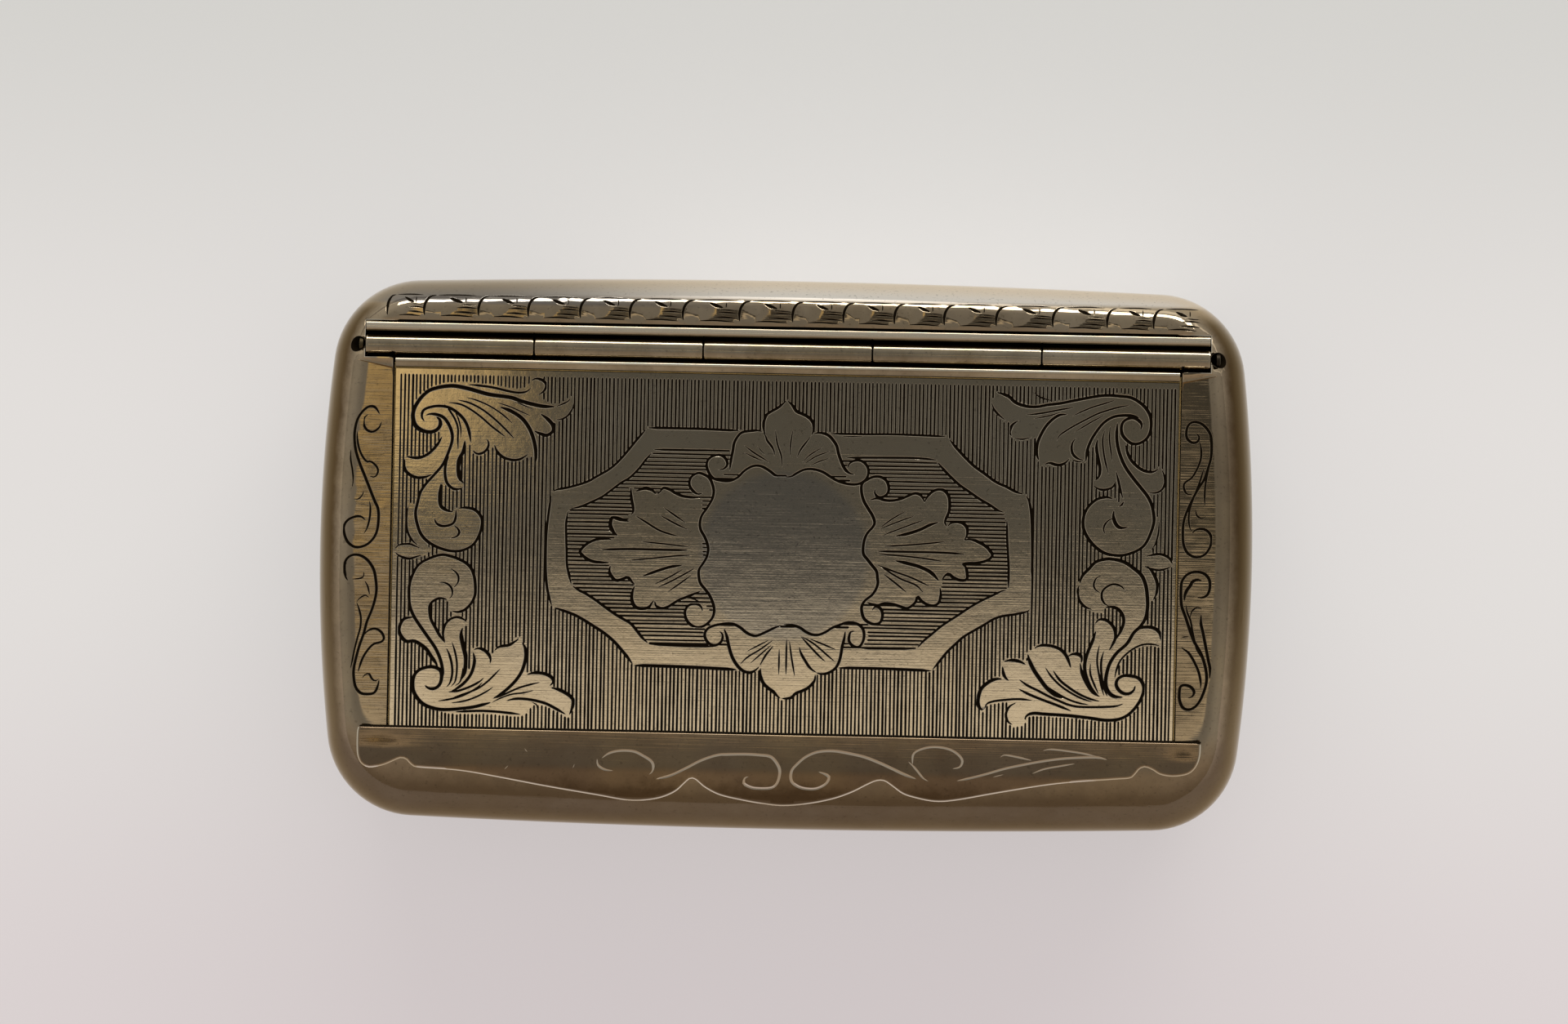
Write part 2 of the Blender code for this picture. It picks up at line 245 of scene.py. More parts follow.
@dataclass(frozen=True)
class Dome:
    """The rounded outer form of one half of the case, from its flat to the seam."""

    flat: float
    end_roll: float
    front_roll: float
    rear_roll: float
    flat_corner: float
    half_length: float = 42.5
    half_depth: float = 25.0
    seam: float = 8.75
    seam_corner: float = 8.0
    end_bow: float = 147.0
    side_bow: float = 1000.0
    halvings: int = 26
    steps: tuple[int, int, int] = (14, 16, 26)

    def reach(self, draw_in: Values, rear: np.ndarray | bool) -> tuple[Values, Values, Values]:
        """Half length, half depth and corner radius of a level outline.

        Args:
            draw_in: How far the outline is drawn in, from 0 at the seam to 1 at the flat.
            rear: Whether the point lies in the rear half.

        Returns:
            The three sizes.
        """
        roll = np.where(rear, self.rear_roll, self.front_roll)
        corner = self.seam_corner + (self.flat_corner - self.seam_corner) * draw_in
        return self.half_length - self.end_roll * draw_in, self.half_depth - roll * draw_in, corner

    def corner_centre(self, half: Values, depth: Values, corner: Values) -> tuple[Values, Values]:
        """Where the corner arc between the bowed end and the bowed side is centred.

        Args:
            half: Half length of the outline.
            depth: Half depth of the outline.
            corner: The corner's radius.

        Returns:
            The centre's X and Y in the first quadrant.
        """
        end_x = half - self.end_bow
        side_y = depth - self.side_bow
        span = np.hypot(end_x, side_y)
        near = self.end_bow - corner
        far = self.side_bow - corner
        along = (near**2 - far**2 + span**2) / (2 * span)
        aside = np.sqrt(near**2 - along**2)
        ux, uy = -end_x / span, side_y / span
        return end_x + ux * along - uy * aside, uy * along + ux * aside

    def outside(self, points: Points, turn: np.ndarray) -> np.ndarray:
        """How far points lie outside the level outline at a turn.

        Args:
            points: Points in the plan.
            turn: The turn of each point's outline, from 0 at the flat to a quarter turn at the seam.

        Returns:
            The distance, negative inside.
        """
        x, y = np.abs(points[:, 0]), np.abs(points[:, 1])
        half, depth, corner = self.reach(1 - np.sin(turn), points[:, 1] > 0)
        cx, cy = self.corner_centre(half, depth, corner)
        end_x, side_y = half - self.end_bow, depth - self.side_bow
        past_end = (cx - end_x) * (y - cy) - cy * (x - cx) >= 0
        past_side = (x - cx) * (cy - side_y) - (y - cy) * cx >= 0
        edge = np.maximum(np.hypot(x - end_x, y) - self.end_bow, np.hypot(x, y - side_y) - self.side_bow)
        return np.where(past_end & past_side, np.hypot(x - cx, y - cy) - corner, edge)

    def height(self, points: Points) -> np.ndarray:
        """Height of the dome over points in the plan, found by halving the turn's range.

        Args:
            points: Points in the plan, inside the seam's outline.

        Returns:
            The height of each point.
        """
        low = np.zeros(len(points))
        high = np.full(len(points), QUARTER_TURN)
        for _ in range(self.halvings):
            middle = (low + high) / 2
            inside = self.outside(points, middle) <= 0
            high = np.where(inside, middle, high)
            low = np.where(inside, low, middle)
        return self.level(high)

    def level(self, turn: Values) -> Values:
        """Height of the outline at a turn."""
        return self.seam + (self.flat - self.seam) * np.cos(turn)

    def outline(self, turn: float, inset: float = 0.0) -> Points:
        """The level outline at a turn, as points in the plan.

        Args:
            turn: From 0 at the flat to a quarter turn at the seam.
            inset: How far inside the outer surface it lies.

        Returns:
            A closed ring of points.
        """
        front = self._quarter(turn, inset, False) * (1, -1)
        right = np.vstack([front[::-1][:-1], self._quarter(turn, inset, True)])
        left = right[::-1][1:-1] * (-1, 1)
        return np.vstack([right, left])

    def _quarter(self, turn: float, inset: float, rear: bool) -> Points:
        """A quarter of the outline, from the middle of an end to the middle of a long side."""
        half, depth, corner = (float(v) for v in self.reach(1 - math.sin(turn), rear))
        half, depth, corner = half - inset, depth - inset, corner - inset
        cx, cy = (float(v) for v in self.corner_centre(half, depth, corner))
        end_x, side_y = half - self.end_bow, depth - self.side_bow
        end_turn = math.atan2(cy, cx - end_x)
        side_turn = math.atan2(cy - side_y, cx)
        end, bend, side = self.steps
        arcs = (
            (end_x, 0.0, self.end_bow, np.linspace(0, end_turn, end, endpoint=False)),
            (cx, cy, corner, np.linspace(end_turn, side_turn, bend, endpoint=False)),
            (0.0, side_y, self.side_bow, np.linspace(side_turn, QUARTER_TURN, side)),
        )
        return np.vstack([np.column_stack([x + r * np.cos(a), y + r * np.sin(a)]) for x, y, r, a in arcs])


@dataclass(frozen=True)
class Plan:
    """The sizes that the case, the lid and the hinge share."""

    sheet: float = 0.7
    flat: float = 16.5
    rim: float = 17.0
    hinge_y: float = 18.45
    hinge_z: float = 16.05
    trough_front: float = 17.3
    trough_rear: float = 20.65
    barrel_half: float = 38.25
    lid_half: float = 35.45
    lid_front: float = -17.5
    lid_clearance: float = 0.15
    ramp: float = 1.1
    ramp_tip: float = 40.2
    ramp_steps: tuple[Point, ...] = ((0, 0), (0.15, 0.4), (0.5, 0.45), (0.8, 1), (1, 1), (20, 20))
    crease_round: float = 0.42
    rear_bevel: Point = (0.3, 0.14)

    @property
    def top_dome(self) -> Dome:
        """The upper shell's outer form."""
        return Dome(self.rim, end_roll=4.3, front_roll=9.0, rear_roll=2.7, flat_corner=3.2)

    @property
    def inner_top(self) -> Dome:
        """The upper shell's inner form."""
        return replace(self.top_dome, flat=self.flat, front_roll=7.0)

    @property
    def ceiling(self) -> Dome:
        """The upper shell's inner surface."""
        inner = self.inner_top
        drawn_in = ("flat", "flat_corner", "half_length", "half_depth", "seam_corner")
        return replace(inner, **{name: getattr(inner, name) - self.sheet for name in drawn_in})

    @property
    def base_dome(self) -> Dome:
        """The lower shell's form."""
        return Dome(0.0, end_roll=5.0, front_roll=6.0, rear_roll=6.0, flat_corner=4.0)


PLAN = Plan()


def inside_loops(points: Points, loops: Sequence[Points]) -> np.ndarray:
    """Which points lie inside an odd number of closed loops.

    Args:
        points: Points in the plan.
        loops: Closed loops of points.

    Returns:
        One truth value for each point.
    """
    inside = np.zeros(len(points), bool)
    x, y = points[:, 0], points[:, 1]
    for loop in loops:
        for (ax, ay), (bx, by) in zip(loop, np.roll(loop, -1, axis=0)):
            if ay == by:
                continue
            crosses = (ay > y) != (by > y)
            inside ^= crosses & (x < ax + (y - ay) * (bx - ax) / (by - ay))
    return inside


def runs(flags: np.ndarray) -> list[tuple[int, int]]:
    """Where each unbroken run of true values starts and stops."""
    ends = np.flatnonzero(np.diff(np.concatenate([[0], flags.astype(int), [0]])))
    return list(zip(ends[::2], ends[1::2]))


def line_parts(lines: Iterable[Points], loop: Points, within: bool) -> list[Points]:
    """The parts of lines that lie inside a loop, or else those outside it.

    Args:
        lines: Open lines of points.
        loop: A closed loop of points.
        within: Whether the parts inside are wanted.

    Returns:
        Lines of two points or more.
    """
    kept = []
    for line in lines:
        wanted = inside_loops(line, [loop]) == within
        kept += [line[start:stop] for start, stop in runs(wanted) if stop - start > 1]
    return kept


def smooth_path(points: Sequence[Point], spacing: float) -> Points:
    """Points evenly along a smooth curve through the given ones.

    Args:
        points: The points that the curve passes through.
        spacing: The distance between its points.

    Returns:
        The curve's points.
    """
    knots = np.asarray(points, float)
    padded = np.vstack([2 * knots[0] - knots[1], knots, 2 * knots[-1] - knots[-2]])
    fine = []
    for before, start, stop, after in zip(padded, padded[1:], padded[2:], padded[3:]):
        t = np.linspace(0, 1, CURVE_STEPS, endpoint=False)[:, None]
        fine.append(
            start
            + t * (stop - before) / 2
            + t**2 * (before - 2.5 * start + 2 * stop - after / 2)
            + t**3 * (1.5 * (start - stop) + (after - before) / 2)
        )
    fine.append(knots[-1:])
    curve = np.vstack(fine)
    steps = np.linalg.norm(np.diff(curve, axis=0), axis=1)
    along = np.concatenate([[0], np.cumsum(steps)])
    count = max(3, round(along[-1] / spacing) + 1)
    at = np.linspace(0, along[-1], count)
    return np.column_stack([np.interp(at, along, curve[:, i]) for i in range(2)])


@dataclass(frozen=True)
class Stroke:
    """One cut of the graver: a curve with a V-shaped section that swells and tapers."""

    path: Points
    widths: np.ndarray

    @staticmethod
    def cut(points: Sequence[Point], width: float) -> "Stroke":
        """A stroke through points, thinner at its ends and where it climbs away from the hand.

        Args:
            points: The points that it passes through.
            width: Its full width where it is widest.

        Returns:
            The stroke.
        """
        spacing, end_share, taper_rate = 0.22, 0.3, 0.8
        hand_turn, least_swell, swell_by_turn = 0.9, 0.95, 0.25
        path = smooth_path(points, spacing)
        along = np.gradient(path, axis=0)
        turn = np.arctan2(along[:, 1], along[:, 0])
        swell = least_swell + swell_by_turn * np.cos(turn + hand_turn) ** 2
        place = np.arange(len(path)) * spacing
        taper = np.minimum(1, end_share + taper_rate * np.minimum(place, place[::-1]))
        widths = width / 2 * swell * taper
        widths[[0, -1]] = 0
        return Stroke(path, widths)

    def normals(self) -> Points:
        """The unit vector to the left of the path at each point."""
        along = np.gradient(self.path, axis=0)
        along /= np.maximum(np.linalg.norm(along, axis=1, keepdims=True), TINY)
        return np.column_stack([-along[:, 1], along[:, 0]])


@dataclass
class Engraving:
    """Strokes on one surface, and how deep they cut it."""

    strokes: list[Stroke] = field(default_factory=list)
    slope: float = 0.5
    least_width: float = 0.04
    least_share: float = 0.15

    def lines(self) -> list[Points]:
        """The bottom and both edges of each cut, as open lines for a triangulation."""
        rows = []
        for stroke in self.strokes:
            side = stroke.normals() * stroke.widths[:, None]
            rows += [stroke.path, stroke.path + side, stroke.path - side]
        return rows

    def measure(self, points: Points) -> tuple[np.ndarray, np.ndarray]:
        """How deep the cuts are at points of the surface.

        Args:
            points: Points in the plan.

        Returns:
            The depth in millimetres, and the share of the way from a cut's edge to its bottom.
        """
        depth, share = np.zeros(len(points)), np.zeros(len(points))
        if not self.strokes:
            return depth, share
        start = np.vstack([stroke.path[:-1] for stroke in self.strokes])
        end = np.vstack([stroke.path[1:] for stroke in self.strokes])
        width = np.concatenate([stroke.widths[:-1] for stroke in self.strokes])
        width_end = np.concatenate([stroke.widths[1:] for stroke in self.strokes])
        lengths = np.linalg.norm(end - start, axis=1)
        reach = float(lengths.max() / 2 + max(width.max(), width_end.max()))
        tree = kdtree.KDTree(len(start))
        for i, (x, y) in enumerate((start + end) / 2):
            tree.insert((x, y, 0), i)
        tree.balance()
        for k, (x, y) in enumerate(points):
            near = [found[1] for found in tree.find_range((x, y, 0), reach)]
            if not near:
                continue
            here = np.array((x, y))
            a, b = start[near], end[near]
            along = b - a
            t = ((here - a) * along).sum(1) / np.maximum((along**2).sum(1), TINY)
            t = np.clip(t, 0, 1)
            gap = np.linalg.norm(here - a - along * t[:, None], axis=1)
            w = width[near] + (width_end[near] - width[near]) * t
            deep = np.maximum(0, w - gap)
            depth[k] = deep.max() * self.slope
            share[k] = (deep / np.maximum(w, self.least_width)).max()
        shallow = share < self.least_share
        depth[shallow] = 0
        share[shallow] = 0
        return depth, share


@dataclass
class Patch:
    """A triangulated piece of a surface over the plan, with its engraving cut in."""

    loops: list[Points]
    height: Height
    engraving: Engraving = field(default_factory=Engraving)
    guides: list[Points] = field(default_factory=list)
    drop: float = 0.0
    rim: Height | None = None

    def triangulate(self) -> tuple[Points, list[tuple[int, ...]], list[tuple[int, ...]]]:
        """Triangulates the area between the loops.

        Returns:
            Points in the plan, triangles, and the edges round the area.
        """
        lines = [*self.loops, *self.guides, *self.engraving.lines()]
        edges: list[tuple[int, int]] = []
        count = 0
        for number, line in enumerate(lines):
            n = len(line)
            edges += [(count + i, count + i + 1) for i in range(n - 1)]
            if number < len(self.loops):
                edges.append((count + n - 1, count))
            count += n
        flat = [Vector((float(x), float(y))) for x, y in np.vstack(lines)]
        verts, _, faces, *_ = delaunay_2d_cdt(flat, edges, [], 0, WELD_DISTANCE)
        plan = np.array([(v.x, v.y) for v in verts])
        corners = np.array(faces)
        keep = inside_loops(plan[corners].mean(axis=1), self.loops)
        corners = corners[keep]
        ends = np.concatenate([corners[:, [0, 1]], corners[:, [1, 2]], corners[:, [2, 0]]])
        _, first, uses = np.unique(np.sort(ends, axis=1), axis=0, return_index=True, return_counts=True)
        rim = [tuple(int(v) for v in ends[i]) for i in first[uses == 1]]
        return plan, [tuple(int(v) for v in c) for c in corners], rim

    def add_to(self, shape: Shape, side: Face = Face.OUTSIDE) -> list[Points]:
        """Adds the patch to a shape.

        Args:
            shape: The shape that it joins.
            side: Which finish its faces take.

        Returns:
            The closed loops of points round the patch, the longest first.
        """
        plan, faces, rim = self.triangulate()
        depth, share = self.engraving.measure(plan)
        height = self.height(plan) - depth
        border = list({v for edge in rim for v in edge})
        height[border] -= self.drop
        if self.rim:
            share[border] = self.rim(plan[border])
        solid = at_height(plan, height)
        shape.add(solid, faces, side, share)
        return [solid[loop] for loop in ordered_loops(rim)]


def ordered_loops(edges: list[tuple[int, ...]]) -> list[list[int]]:
    """Puts the edges round a patch in order.

    Args:
        edges: Pairs of point numbers, each pointing along its loop.

    Returns:
        Closed loops of point numbers, the longest first.
    """
    after = dict(edges)
    loops = []
    while after:
        here, following = after.popitem()
        loop = [here]
        while following in after:
            loop.append(following)
            following = after.pop(following)
        loops.append(loop)
    return sorted(loops, key=len, reverse=True)


def rectangle(half: float, front: float, rear: float, spacing: float = 1.0) -> Points:
    """A closed rectangle in the plan, centred on the Y axis.

    Args:
        half: Half its length along X.
        front: Its lowest Y.
        rear: Its highest Y.
        spacing: The distance between its points.

    Returns:
        Its points, anticlockwise.
    """
    return polygon(((-half, front), (half, front), (half, rear), (-half, rear)), spacing)


def polygon(corners: Sequence[Point], spacing: float) -> Points:
    """A closed polygon with points along its sides.

    Args:
        corners: Its corners in order.
        spacing: The longest distance between its points.

    Returns:
        Its points.
    """
    sides = []
    for start, end in zip(np.array(corners), np.roll(np.array(corners), -1, axis=0)):
        count = max(1, math.ceil(float(np.linalg.norm(end - start)) / spacing))
        sides.append(start + (end - start) * np.linspace(0, 1, count, endpoint=False)[:, None])
    return np.vstack(sides)


def soft_least(first: np.ndarray, second: np.ndarray, rounding: float) -> np.ndarray:
    """The lower of two heights, with the crease between them rounded.

    Args:
        first: Heights.
        second: Other heights at the same points.
        rounding: The difference below which the two blend.

    Returns:
        The blended heights.
    """
    share = np.clip(0.5 + (second - first) / (2 * rounding), 0, 1)
    return second + (first - second) * share - rounding * share * (1 - share)


def at_height(ring: Points, height: Values) -> Points:
    """Points of the plan placed in space, at one height or each at its own."""
    return np.column_stack([ring, np.broadcast_to(height, len(ring))])


@dataclass
class Piece:
    """A visible piece: what it stands for, the body it rides on and its finishes."""

    name: str
    nodes: tuple[str, ...]
    body: Body
    slot: Slot
    materials: tuple[bpy.types.Material, ...]

    def place(self, obj: bpy.types.Object) -> bpy.types.Object:
        """Dresses a new object and hangs it on its body.

        Args:
            obj: The object made for this piece.

        Returns:
            The same object.
        """
        for material in self.materials:
            obj.data.materials.append(material)
        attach(obj, self.body.value)
        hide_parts(*self.nodes)
        LOG.info("%s: %d faces", obj.name, len(obj.data.polygons))
        return obj


@dataclass
class LowerShell:
    """The lower half of the case, from its flat base to just under the seam."""

    plan: Plan = PLAN
    rings: int = 22
    solder_gap: float = 0.1

    def make(self, name: str) -> bpy.types.Object:
        """Builds the shell as one closed loft, out along its outside and back along its inside.

        Args:
            name: The piece's name.

        Returns:
            The new object.
        """
        shape = Shape()
        dome = self.plan.base_dome
        top = dome.seam - self.solder_gap
        turns = np.linspace(0, QUARTER_TURN, self.rings)
        outer = [at_height(dome.outline(t), min(top, float(dome.level(t)))) for t in turns]
        sheet = self.plan.sheet
        inside = replace(dome, flat=sheet)
        inner = [at_height(dome.outline(t, sheet), min(top, float(inside.level(t)))) for t in turns[::-1]]
        shape.cap(outer[0])
        shape.loft(outer)
        shape.loft([outer[-1], inner[0]])
        shape.loft(inner, Face.INSIDE)
        shape.cap(inner[-1], Face.INSIDE)
        return shape.build(name)


@dataclass
class UpperShell:
    """The upper half of the case: end strips, rear shoulder and the opening under the lid."""

    engraving: Engraving = field(default_factory=Engraving)
    plan: Plan = PLAN
    patch_turns: Point = (0.12, 0.95)
    ceiling_turns: Point = (0.1, 0.5)
    wall_rings: int = 12
    patch_rings: int = 9
    ceiling_rings: int = 4
    spacing: float = 0.8
    ramp_points: int = 240
    least_taper: float = 0.25
    weld: float = 0.01
    plug_hole: float = 0.65
    drill_reach: Point = (-1, 6)
    clear_margin: float = 0.16
    rim_width: float = 0.1

    def height(self, points: Points) -> np.ndarray:
        """Height of the outer surface: the dome, lowered to the lid's level in front of the hinge.

        Args:
            points: Points in the plan.

        Returns:
            Their heights.
        """
        plan = self.plan
        depth = self.ramp_depth(points[:, 0])
        share = 1 - (plan.trough_front - points[:, 1]) / depth
        risen = np.interp(share, *zip(*plan.ramp_steps))
        lowered = plan.flat + (plan.rim - plan.flat) * risen
        depth, drop = plan.rear_bevel
        bevel = drop * np.clip(1 - (points[:, 1] - plan.trough_rear) / depth, 0, 1)
        beside = np.abs(points[:, 0]) > plan.barrel_half + self.weld
        bevel[beside | (points[:, 1] < plan.trough_rear - self.weld)] = 0
        return soft_least(plan.top_dome.height(points), lowered, plan.crease_round) - bevel

    def ramp_depth(self, x: np.ndarray) -> np.ndarray:
        """How deep the stepped ramp before the hinge is: less towards the tips at its ends."""
        plan = self.plan
        taper = (plan.ramp_tip - np.abs(x)) / (plan.ramp_tip - plan.lid_half)
        return plan.ramp * np.clip(taper, self.least_taper, 1)

    def rim_wear_and_painted_light(self, points: Points) -> np.ndarray:
        """The groove value round the patch: grime and painted shade in the lid's gap, wear and a painted
        highlight beside the hinge.
        """
        plan = self.plan
        x, y = np.abs(points[:, 0]), points[:, 1]
        inner = (x < plan.barrel_half + self.rim_width) & (y > plan.lid_front - 2 * plan.lid_clearance)
        inner &= y < plan.trough_rear + self.rim_width
        hinge_end = (y > plan.trough_front - self.rim_width) & (x > plan.lid_half + 2 * plan.lid_clearance)
        return np.where(inner, np.where(hinge_end, -1.0, 1.0), 0.0)

    def opening(self, margin: float = 0.0) -> Points:
        """The outline of the opening for the lid and, behind it, the wider one for the hinge.

        Args:
            margin: How far outside the real outline it lies.

        Returns:
            A closed loop of points.
        """
        plan = self.plan
        half = plan.lid_half + plan.lid_clearance + margin
        front = plan.lid_front - plan.lid_clearance - margin
        barrel = plan.barrel_half + margin
        neck = plan.trough_front - margin
        rear = plan.trough_rear + margin
        right = ((half, front), (half, neck), (barrel, neck), (barrel, rear))
        left = tuple((-x, y) for x, y in reversed(right))
        return polygon(right + left, self.spacing)

    def guides(self, rings: list[Points]) -> list[Points]:
        """Lines that the triangles of the top follow: the dome's rings and the ramp before the hinge.

        Args:
            rings: Level outlines of the dome.

        Returns:
            Open lines that stay clear of the opening.
        """
        plan = self.plan
        lines = [np.vstack([ring, ring[:1]]) for ring in rings]
        row = np.linspace(-plan.ramp_tip, plan.ramp_tip, self.ramp_points)
        for share, _ in plan.ramp_steps[:-1]:
            lines.append(np.column_stack([row, plan.trough_front - (1 - share) * self.ramp_depth(row)]))
        return self.clear_parts(lines)

    def clear_parts(self, lines: Iterable[Points]) -> list[Points]:
        """The parts of lines that stay clear of the opening."""
        return line_parts(lines, self.opening(self.clear_margin), within=False)

    def make(self, name: str) -> bpy.types.Object:
        """Builds the shell: an engraved patch on top, plain walls below it, and its inside.

        Args:
            name: The piece's name.

        Returns:
            The new object.
        """
        shape = Shape()
        dome, ceiling = self.plan.top_dome, self.plan.ceiling
        rings = [dome.outline(t) for t in np.linspace(*self.patch_turns, self.patch_rings)]
        loop = self.opening(self.rim_width)
        guides = [*self.guides(rings[:-1]), np.vstack([loop, loop[:1]])]
        top = Patch([rings[-1], self.opening()], self.height, self.engraving, guides, rim=self.rim_wear_and_painted_light)
        hole = min(top.add_to(shape), key=lambda edge: float(np.ptp(edge[:, 0])))
        turns = np.linspace(self.patch_turns[1], QUARTER_TURN, self.wall_rings)
        walls = [at_height(dome.outline(t), dome.level(t)) for t in turns]
        walls[0] = at_height(rings[-1], self.height(rings[-1]))
        shape.loft(walls)
        turns = np.linspace(QUARTER_TURN, self.ceiling_turns[1], self.wall_rings)
        inner = [at_height(ceiling.outline(t), ceiling.level(t)) for t in turns]
        shape.loft([walls[-1], inner[0]])
        shape.loft(inner, Face.INSIDE)
        turns = np.linspace(*self.ceiling_turns, self.ceiling_rings)[:-1]
        guides = self.clear_parts(ceiling.outline(t) for t in turns)
        # The walls of the opening take the dark cut colour: painted shade in the gap round the lid.
        shape.loft([hole, at_height(hole[:, :2], ceiling.height(hole[:, :2]))], groove=1.0)
        under = Patch([inner[-1][:, :2], hole[:, :2]], ceiling.height, guides=guides)
        under.add_to(shape, Face.INSIDE)
        obj = shape.build(name)
        self.drill(obj)
        return obj

    def drill(self, obj: bpy.types.Object) -> None:
        """Cuts the two round holes at the ends of the hinge pin.

        Args:
            obj: The shell.
        """
        plan = self.plan
        for side in (-1, 1):
            ends = [side * (plan.barrel_half + reach) for reach in self.drill_reach]
            bit = Tube([(x, self.plug_hole) for x in sorted(ends)], hollow=False).make("pin_drill")
            modifier = obj.modifiers.new("pin_hole", "BOOLEAN")
            modifier.object = bit
            modifier.solver = "EXACT"
            apply_modifiers(obj)
            bpy.data.objects.remove(bit)


def apply_modifiers(obj: bpy.types.Object) -> None:
    """Makes an object's modifiers part of its mesh."""
    graph = bpy.context.evaluated_depsgraph_get()
    mesh = bpy.data.meshes.new_from_object(obj.evaluated_get(graph))
    obj.modifiers.clear()
    obj.data = mesh


@dataclass
class EngravedSheet:
    """A piece cut from sheet, engraved on top, with a narrow chamfer round its upper edge."""

    outline: Points
    inset: Points
    surface: Height
    thickness: float
    chamfer: float
    engraving: Engraving = field(default_factory=Engraving)
    guides: list[Points] = field(default_factory=list)
    rim: Height | None = None

    def make(self, name: str) -> bpy.types.Object:
        """Builds the sheet.

        Args:
            name: The piece's name.

        Returns:
            The new object.
        """
        shape = Shape()
        guides = [np.vstack([self.inset, self.inset[:1]]), *self.guides]
        top = Patch([self.outline], self.surface, self.engraving, guides, self.chamfer, self.rim)
        edge = top.add_to(shape)[0]
        plan = edge[:, :2]
        shape.loft([edge, at_height(plan, self.surface(plan) - self.thickness)])
        under = Patch([plan], lambda points: self.surface(points) - self.thickness, guides=self.guides)
        under.add_to(shape, Face.INSIDE)
        return shape.build(name)


@dataclass
class Bar:
    """A straight bar along X with a rounded section of (y, z, groove value) points."""

    section: Sequence[tuple[float, float, float]]
    half: float
    sharp_degrees: float = 40

    def make(self, name: str) -> bpy.types.Object:
        """Builds the bar with flat ends.

        Args:
            name: The piece's name.

        Returns:
            The new object.
        """
        shape = Shape()
        rings = [np.array([(x, y, z) for y, z, _ in self.section]) for x in (-self.half, self.half)]
        shape.loft(rings, groove=np.array([wear for _, _, wear in self.section]))
        shape.cap(rings[0])
        shape.cap(rings[-1])
        return shape.build(name, self.sharp_degrees)


@dataclass
class Tube:
    """A piece turned round the hinge pin's axis, from a profile of (x, radius) points."""

    profile: list[Point]
    sides: int = 48
    plan: Plan = PLAN
    hollow: bool = True

    def make(self, name: str) -> bpy.types.Object:
        """Turns the profile round the axis.

        Args:
            name: The piece's name.

        Returns:
            The new object.
        """
        shape = Shape()
        turn = np.linspace(0, 2 * math.pi, self.sides, endpoint=False)
        rings = []
        for x, radius in self.profile:
            across = self.plan.hinge_y + radius * np.cos(turn)
            up = self.plan.hinge_z + radius * np.sin(turn)
            rings.append(np.column_stack([np.full(self.sides, x), across, up]))
        shape.loft(rings)
        if self.hollow:
            shape.loft([rings[-1], rings[0]])
        else:
            shape.cap(rings[0])
            shape.cap(rings[-1])
        return shape.build(name)


@dataclass
class RimFrame:
    """A flat rectangular frame with softened corners, swept from a small section."""

    node: str
    width: float
    grime: float = 0.0
    softening: float = 0.12
    spacing: float = 500

    def make(self, name: str) -> bpy.types.Object:
        """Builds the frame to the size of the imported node.

        Args:
            name: The piece's name.

        Returns:
            The new object.
        """
        low, high = node_box(self.node)
        soft = self.softening
        section = (
            (0, low[2], 0),
            (0, high[2] - soft, self.grime),
            (soft, high[2], self.grime),
            (3 * soft, high[2], 0),
            (self.width - soft, high[2], 0),
            (self.width, high[2] - soft, 0),
            (self.width, low[2], 0),
        )
        shape = Shape()
        rings = [
            at_height(rectangle(high[0] - inset, low[1] + inset, high[1] - inset, self.spacing), height)
            for inset, height, _ in section + section[:1]
        ]
        shape.loft(rings, groove=np.array([[grime] for _, _, grime in section + section[:1]]))
        return shape.build(name)


